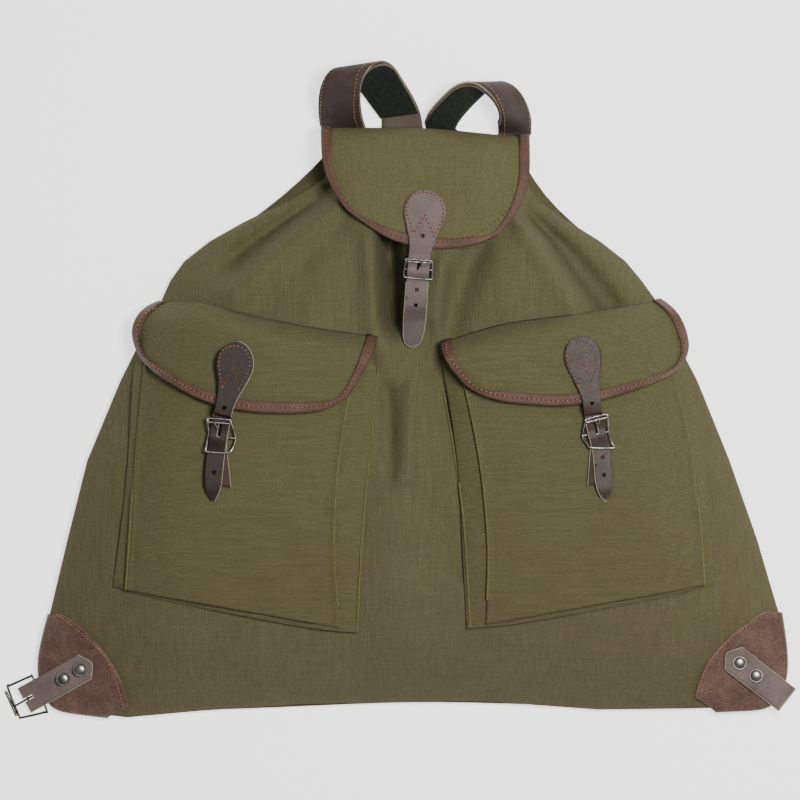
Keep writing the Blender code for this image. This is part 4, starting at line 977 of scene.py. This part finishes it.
def on_level(line, above=0.0):
    """Give points in plan the height of the tilted frame, in metres."""
    heights = np.maximum(line @ level[:2] + level[2], CORNER_FLOOR * MM)
    return np.column_stack([line, heights + np.asarray(above) * MM])


ring = smooth_line(plan(CORNER_RING + CORNER_RING[:1]), FINE_STEP)[:-1]
tongue = smooth_line(plan(CORNER_PRONG), 0.0008)
tubes("corner_frame_wire", [on_level(ring)], 1.1, WORN_NICKEL, closed=True,
      stands_for=("corner_buckle",), body="corner_buckle")
tubes("corner_roller", [on_level(plan(CORNER_ROLLER))], 1.4, WORN_NICKEL, body="corner_buckle")
tubes("corner_middle_bar", [on_level(plan(CORNER_BAR))], 0.8, WORN_NICKEL, body="corner_buckle")
tubes("corner_prong_wire", [on_level(tongue, np.linspace(2.2, 1.2, len(tongue)))], 0.95,
      WORN_NICKEL, stands_for=("corner_prong",), body="corner_prong")
print("corner buckle: ring of", len(ring), "points")

# %% Pale raised edges of cut hide, with painted highlight on the lit rims
EDGE_BEAD = 0.35
UPPER_FACE = 0.25


def rim_edges(mesh):
    """The edges where a piece's upper face meets its cut rim."""
    sides = {}
    for face in mesh.polygons:
        for pair in face.edge_keys:
            sides.setdefault(pair, []).append(face)
    chosen = []
    for pair, faces in sides.items():
        faces.sort(key=lambda face: face.material_index == 1)
        if [face.material_index == 1 for face in faces] == [False, True] and faces[0].normal.z > UPPER_FACE:
            chosen.append(pair)
    return chosen


def bead_edges(name, piece):
    """Lay a thin bead along a piece's upper rim."""
    chosen = rim_edges(piece.data)
    used = sorted({corner for pair in chosen for corner in pair})
    place = {corner: k for k, corner in enumerate(used)}
    spots = [piece.data.vertices[corner].co for corner in used]
    edges = [(place[a], place[b]) for a, b in chosen]
    if edges:
        made = run_tree(name, TUBE_TREE, spots, edges, {"Radius": EDGE_BEAD * MM, "Finish": CUT_EDGE})
        settle(made, [CUT_EDGE], BAG)
    return len(edges)


# Where a rim is drawn pale. Cut hide is pale, and keeping it pale only on some sides, such
# as the left strap's rims that face the light, is painted highlight; the other rims take
# the face's colour. c is a face's centre in metres and n its direction.
LIT_RAW_RIMS = {
    "lid_strap": lambda c, n: c.y < 0.095, "left_strap": lambda c, n: n.x > 0.1,
    "right_strap": lambda c, n: c.y < -0.030 and n.x < 0.1,
    "tab_left": lambda c, n: n.x > 0.3 or n.y < -0.3, "tab_right": lambda c, n: n.y > 0.3 or n.x < -0.3,
    "left_counter": lambda c, n: n.x > 0.1, "right_counter": lambda c, n: n.x < 0.1,
    "lid_counter": lambda c, n: n.x > 0.1,
}
counts = {}
for name, is_lit_raw in LIT_RAW_RIMS.items():
    for face in leathers[name].data.polygons:
        if face.material_index == 1 and not is_lit_raw(face.center, face.normal):
            face.material_index = 0
    counts[name] = bead_edges(f"{name}_edge", leathers[name])
print("edge beads:", counts)

# %% Welts of the pockets
WELTS = {
    "left": POCKET_EDGES["left"][0], "left_inner": POCKET_EDGES["left"][1],
    "right_inner": POCKET_EDGES["right"][0], "right": POCKET_EDGES["right"][1],
    "left_rear": ((-38.7, -217.8), (-34.2, -136.8), (-27, -55.8), (-19.8, 16.2)),
    "right_rear": ((63, -214), (57, -119), (47, -47), (39.6, -4.5)),
}
WELT_RADIUS = 1.2
# The welts take the lighter canvas: a painted highlight along each ridge.
for name, edge in WELTS.items():
    below = [sack, *gussets] if name.endswith("rear") else list(fronts.values())
    welt = drop(smooth_line(np.array(edge, float) * MM, 0.002), below, 0.0004)
    tubes(f"welt_{name}", [welt], WELT_RADIUS, WELT_HIGHLIGHT_CANVAS)
print("welts:", len(WELTS))

# %% [markdown]
# ## Stitches with Geometry Nodes
#
# Hundreds of small stitches hold the bag together, and such rows are what nodes are good
# for. Each seam starts as a line in plan, is dropped on the piece that it sews, and the
# nodes lay a stitch every few millimetres, turned along the line. Between the stitches
# the needle has left small dark holes.

# %% Stitch tree
STITCH_TREE, source, result = new_tree("Stitches along a seam", (
    ("Pitch", "NodeSocketFloat", 0.0044), ("Length", "NodeSocketFloat", 0.0032),
    ("Radius", "NodeSocketFloat", 0.00045), ("Thread", "NodeSocketMaterial", None)))
line = add_node(STITCH_TREE, "GeometryNodeMeshToCurve", None, {"Mesh": source["Geometry"]})
dots = add_node(STITCH_TREE, "GeometryNodeResampleCurve", {"mode": "LENGTH"}, {
    "Curve": line, "Length": source["Pitch"]})
bead = add_node(STITCH_TREE, "GeometryNodeMeshUVSphere", None, {"Segments": 6, "Rings": 5, "Radius": 1.0})
half = add_node(STITCH_TREE, "ShaderNodeMath", {"operation": "MULTIPLY"}, {0: source["Length"], 1: 0.5})
size = add_node(STITCH_TREE, "ShaderNodeCombineXYZ", None, {
    "X": half, "Y": source["Radius"], "Z": source["Radius"]})
stitch = add_node(STITCH_TREE, "GeometryNodeTransform", None, {"Geometry": bead, "Scale": size})
turned = add_node(STITCH_TREE, "FunctionNodeAlignRotationToVector", {"axis": "X"}, {
    "Vector": add_node(STITCH_TREE, "GeometryNodeInputTangent")})
laid = add_node(STITCH_TREE, "GeometryNodeInstanceOnPoints", None, {
    "Points": dots, "Instance": stitch, "Rotation": turned})
end_tree(STITCH_TREE, laid, source["Thread"], result)
print("stitch tree:", len(STITCH_TREE.nodes), "nodes")

# %% Seams as lists of lines
SEAMS = {"orange": [], "tan": [], "olive": [], "hole": []}
SEAM_STEP = 0.0012


def sew(kind, line, pitch, holes=True):
    """Note a seam: its stitches and, half a pitch on, its needle holes."""
    if len(line) < 4:
        return
    SEAMS[kind].append((even_line(line, SEAM_STEP), pitch))
    if holes:
        SEAMS["hole"].append((even_line(line[length_along(line) > pitch / 2], SEAM_STEP), pitch))


print("seam helpers ready")

# %% Seams on the bindings
LID_EDGE = ((320.8, 131), (322.5, 154), (326, 173), (335, 195), (351, 215.6), (373, 230.3), (392, 240.6),
            (409.7, 245.7), (434.7, 248.6), (456.7, 245.7), (478.7, 239), (493.4, 230.3), (508, 217),
            (518.3, 201), (525.6, 183.3), (529.3, 161.3), (529.5, 142.3))
FLAP_EDGES = {
    "left": ((-218, 78), (-230, 72), (-239, 60), (-241, 46), (-235, 29), (-220, 14), (-180, -9), (-146, -19),
             (-99, -22), (-62, -18), (-48, -9), (-33, 14), (-25, 32), (-20, 44)),
    "right": ((37, 39), (38, 32), (45, 19), (60, 1), (81, -9), (117, -14), (153, -15), (202, -4), (248, 14),
              (260, 32), (257, 52), (249, 69), (238, 78)),
}
BINDING_STITCH = 4.2
lid_line = inset_line(smooth_line(plan(LID_EDGE)), (BINDING_STITCH + 0.6) * MM)
sew("orange", drop(lid_line, [flaps["lid_binding"], flaps["lid"]]), 0.0046)
for side, edge in FLAP_EDGES.items():
    line = inset_line(smooth_line(np.array(edge) * MM), BINDING_STITCH * MM)
    sew("orange", drop(line, [flaps[f"{side}_binding"], flaps[side]]), 0.0043)
print("binding seams:", len(SEAMS["orange"]))

# %% Seams on the strap heads
STRAP_HEADS = {
    "lid": (((412.9, 235), (410.2, 223.7), (406.5, 213.5), (408.2, 202.2), (414.3, 195), (423, 192.8),
             (432.7, 195), (440.6, 202.2), (443.2, 213.5), (440.6, 224.7), (434.2, 237)),
            ((412.9, 235), (418.5, 226), (424.9, 216.5)), ((424.9, 216.5), (429.5, 226.5), (434.2, 237))),
    "left": (((223.9, 386.7), (221, 371.8), (220.8, 358), (225.3, 349.4), (235.4, 346.6), (245.5, 349.4),
              (250.6, 359.2), (249, 371.8), (240, 389)),
             ((223.9, 386.7), (228.7, 378), (234.3, 368.4)), ((234.3, 368.4), (237.2, 378), (240, 389))),
    "right": (((577.5, 386.5), (570.4, 372), (564.8, 356.5), (567.4, 346.2), (577, 341.6), (587.6, 344),
               (593.8, 352.8), (594.8, 366), (590.6, 380)),
              ((577.5, 386.5), (579, 376), (581.2, 364)), ((581.2, 364), (586, 371), (590.6, 380))),
}
for key, lines in STRAP_HEADS.items():
    for points in lines:
        sew("orange", drop(smooth_line(plan(points)), [leathers[f"{key}_strap"]]), 0.0036)
print("strap head seams:", sum(len(v) for v in STRAP_HEADS.values()))

# %% Seams on the patches and the pockets
PATCH_ARCS = {
    "left": ((51, 608), (66, 617), (89, 635), (104.6, 651), (115, 669), (121, 686), (126, 705), (129, 716)),
    "right": ((778, 604), (769.7, 606), (754.8, 615), (737.6, 627.7), (725, 639), (713.5, 650.7),
              (704.3, 663.3), (698.5, 677), (694, 692), (691.7, 708)),
}
for side, arc in PATCH_ARCS.items():
    turn = -1 if side == "left" else 1
    line = inset_line(smooth_line(plan(arc)), turn * 3.6 * MM)
    sew("orange", drop(line, [leathers[f"patch_{side}"]]), 0.0034, holes=False)
for side, (west, east) in POCKET_EDGES.items():
    for edge, inward in ((west, 1), (east, -1)):
        line = np.array(edge, float)
        line[:, 0] += inward * (WELT_INSET + 3.2)
        sew("olive", drop(smooth_line(line * MM), [fronts[side]], 0.0001), 0.0032, holes=False)

# Two rows of tan stitches run along each shoulder strap, near its edges.
SHOULDER_ROWS = {
    "left": (((321, 127), (320, 110.7), (321.7, 91.7), (326.1, 77), (331, 69)),
             ((356.9, 125), (354, 113.7), (354.4, 96), (357.7, 75.5), (364.3, 65.3))),
    "right": (((530.8, 126), (528.6, 110.7), (522.7, 96), (512.4, 84.3)),
              ((505.1, 133), (504.4, 118), (500.7, 104.9), (491.9, 90.2), (484.6, 84.3))),
}
for side, rows in SHOULDER_ROWS.items():
    for row in rows:
        sew("tan", drop(smooth_line(plan(row)), [leathers[f"shoulder_{side}"]]), 0.004, holes=False)
print("seams:", {kind: len(lines) for kind, lines in SEAMS.items()})

# %% Lay all the stitches
# Each thread's finish, the share of a pitch that a stitch covers, its radius and its slot.
THREADS = {
    "orange": (ORANGE_THREAD, 0.7, 0.0005, "strap_leather"),
    "tan": (TAN_THREAD, 0.7, 0.0004, "strap_leather"),
    "olive": (OLIVE_THREAD, 0.7, 0.0003, "canvas"),
    "hole": (NEEDLE_HOLE, 0.36, 0.0008, "strap_leather"),
}
for kind, (finish, covered, radius, slot) in THREADS.items():
    rows = {}
    for line, pitch in SEAMS[kind]:
        rows.setdefault(pitch, []).append(line)
    faces = 0
    for pitch, lines in rows.items():
        made = run_tree(f"stitches_{kind}_{round(pitch * 1e4)}", STITCH_TREE, *joined(lines), {
            "Pitch": pitch, "Length": pitch * covered, "Radius": radius, "Thread": finish})
        faces += len(settle(made, [finish], BAG).data.polygons)
    print(kind, "stitches:", faces, "faces")

# %% [markdown]
# ## Floor and light
#
# The bag lies on a light table, which is why hardly any shadow shows round it. The main
# soft lamp hangs nearly overhead, a little beyond the mouth and to the right, so that the
# steep sides of the folds go dark and the flaps throw short soft shadows downwards.

# %% Stage
HALF_FLOOR = 4
FLOOR_LEVEL = -0.0004
floor_mesh = bpy.data.meshes.new("floor")
floor_mesh.from_pydata([(x * HALF_FLOOR, y * HALF_FLOOR, FLOOR_LEVEL)
                        for x, y in ((-1, -1), (1, -1), (1, 1), (-1, 1))], [], [(0, 1, 2, 3)])
acrylic, tree, shader = new_finish("Backlit opal acrylic of a light table", 0.6)
cover(tree, shader, two_tone(tree, pattern(tree, (3, 3, 3)), "#f4f4f2", "#f8f8f6", 0.0, 1.0))
shader.inputs["Emission Color"].default_value = linear("#ffffff")
shader.inputs["Emission Strength"].default_value = 1.5
floor_mesh.materials.append(acrylic)
add_object("floor", floor_mesh)

world = bpy.data.worlds.new("Studio")
bpy.context.scene.world = world
world.use_nodes = True
world.node_tree.nodes["Background"].inputs["Color"].default_value = linear("#f4f5f7")
world.node_tree.nodes["Background"].inputs["Strength"].default_value = 0.3

# Each lamp's name, place, width in metres and power in watts.
LAMPS = (
    ("Main softbox", (0.60, 0.25, 2.3), 0.6, 60.0),
    ("Right fill", (1.9, -0.8, 1.6), 1.4, 3.0),
)
for name, spot, width, power in LAMPS:
    lamp = bpy.data.lights.new(name, "AREA")
    lamp.energy = power
    lamp.size = width
    holder = add_object(name, lamp)
    holder.location = spot
    holder.rotation_mode = "QUATERNION"
    holder.rotation_quaternion = (-Vector(spot)).to_track_quat("-Z", "Y")
    holder.visible_camera = False
print("lamps:", len(LAMPS))
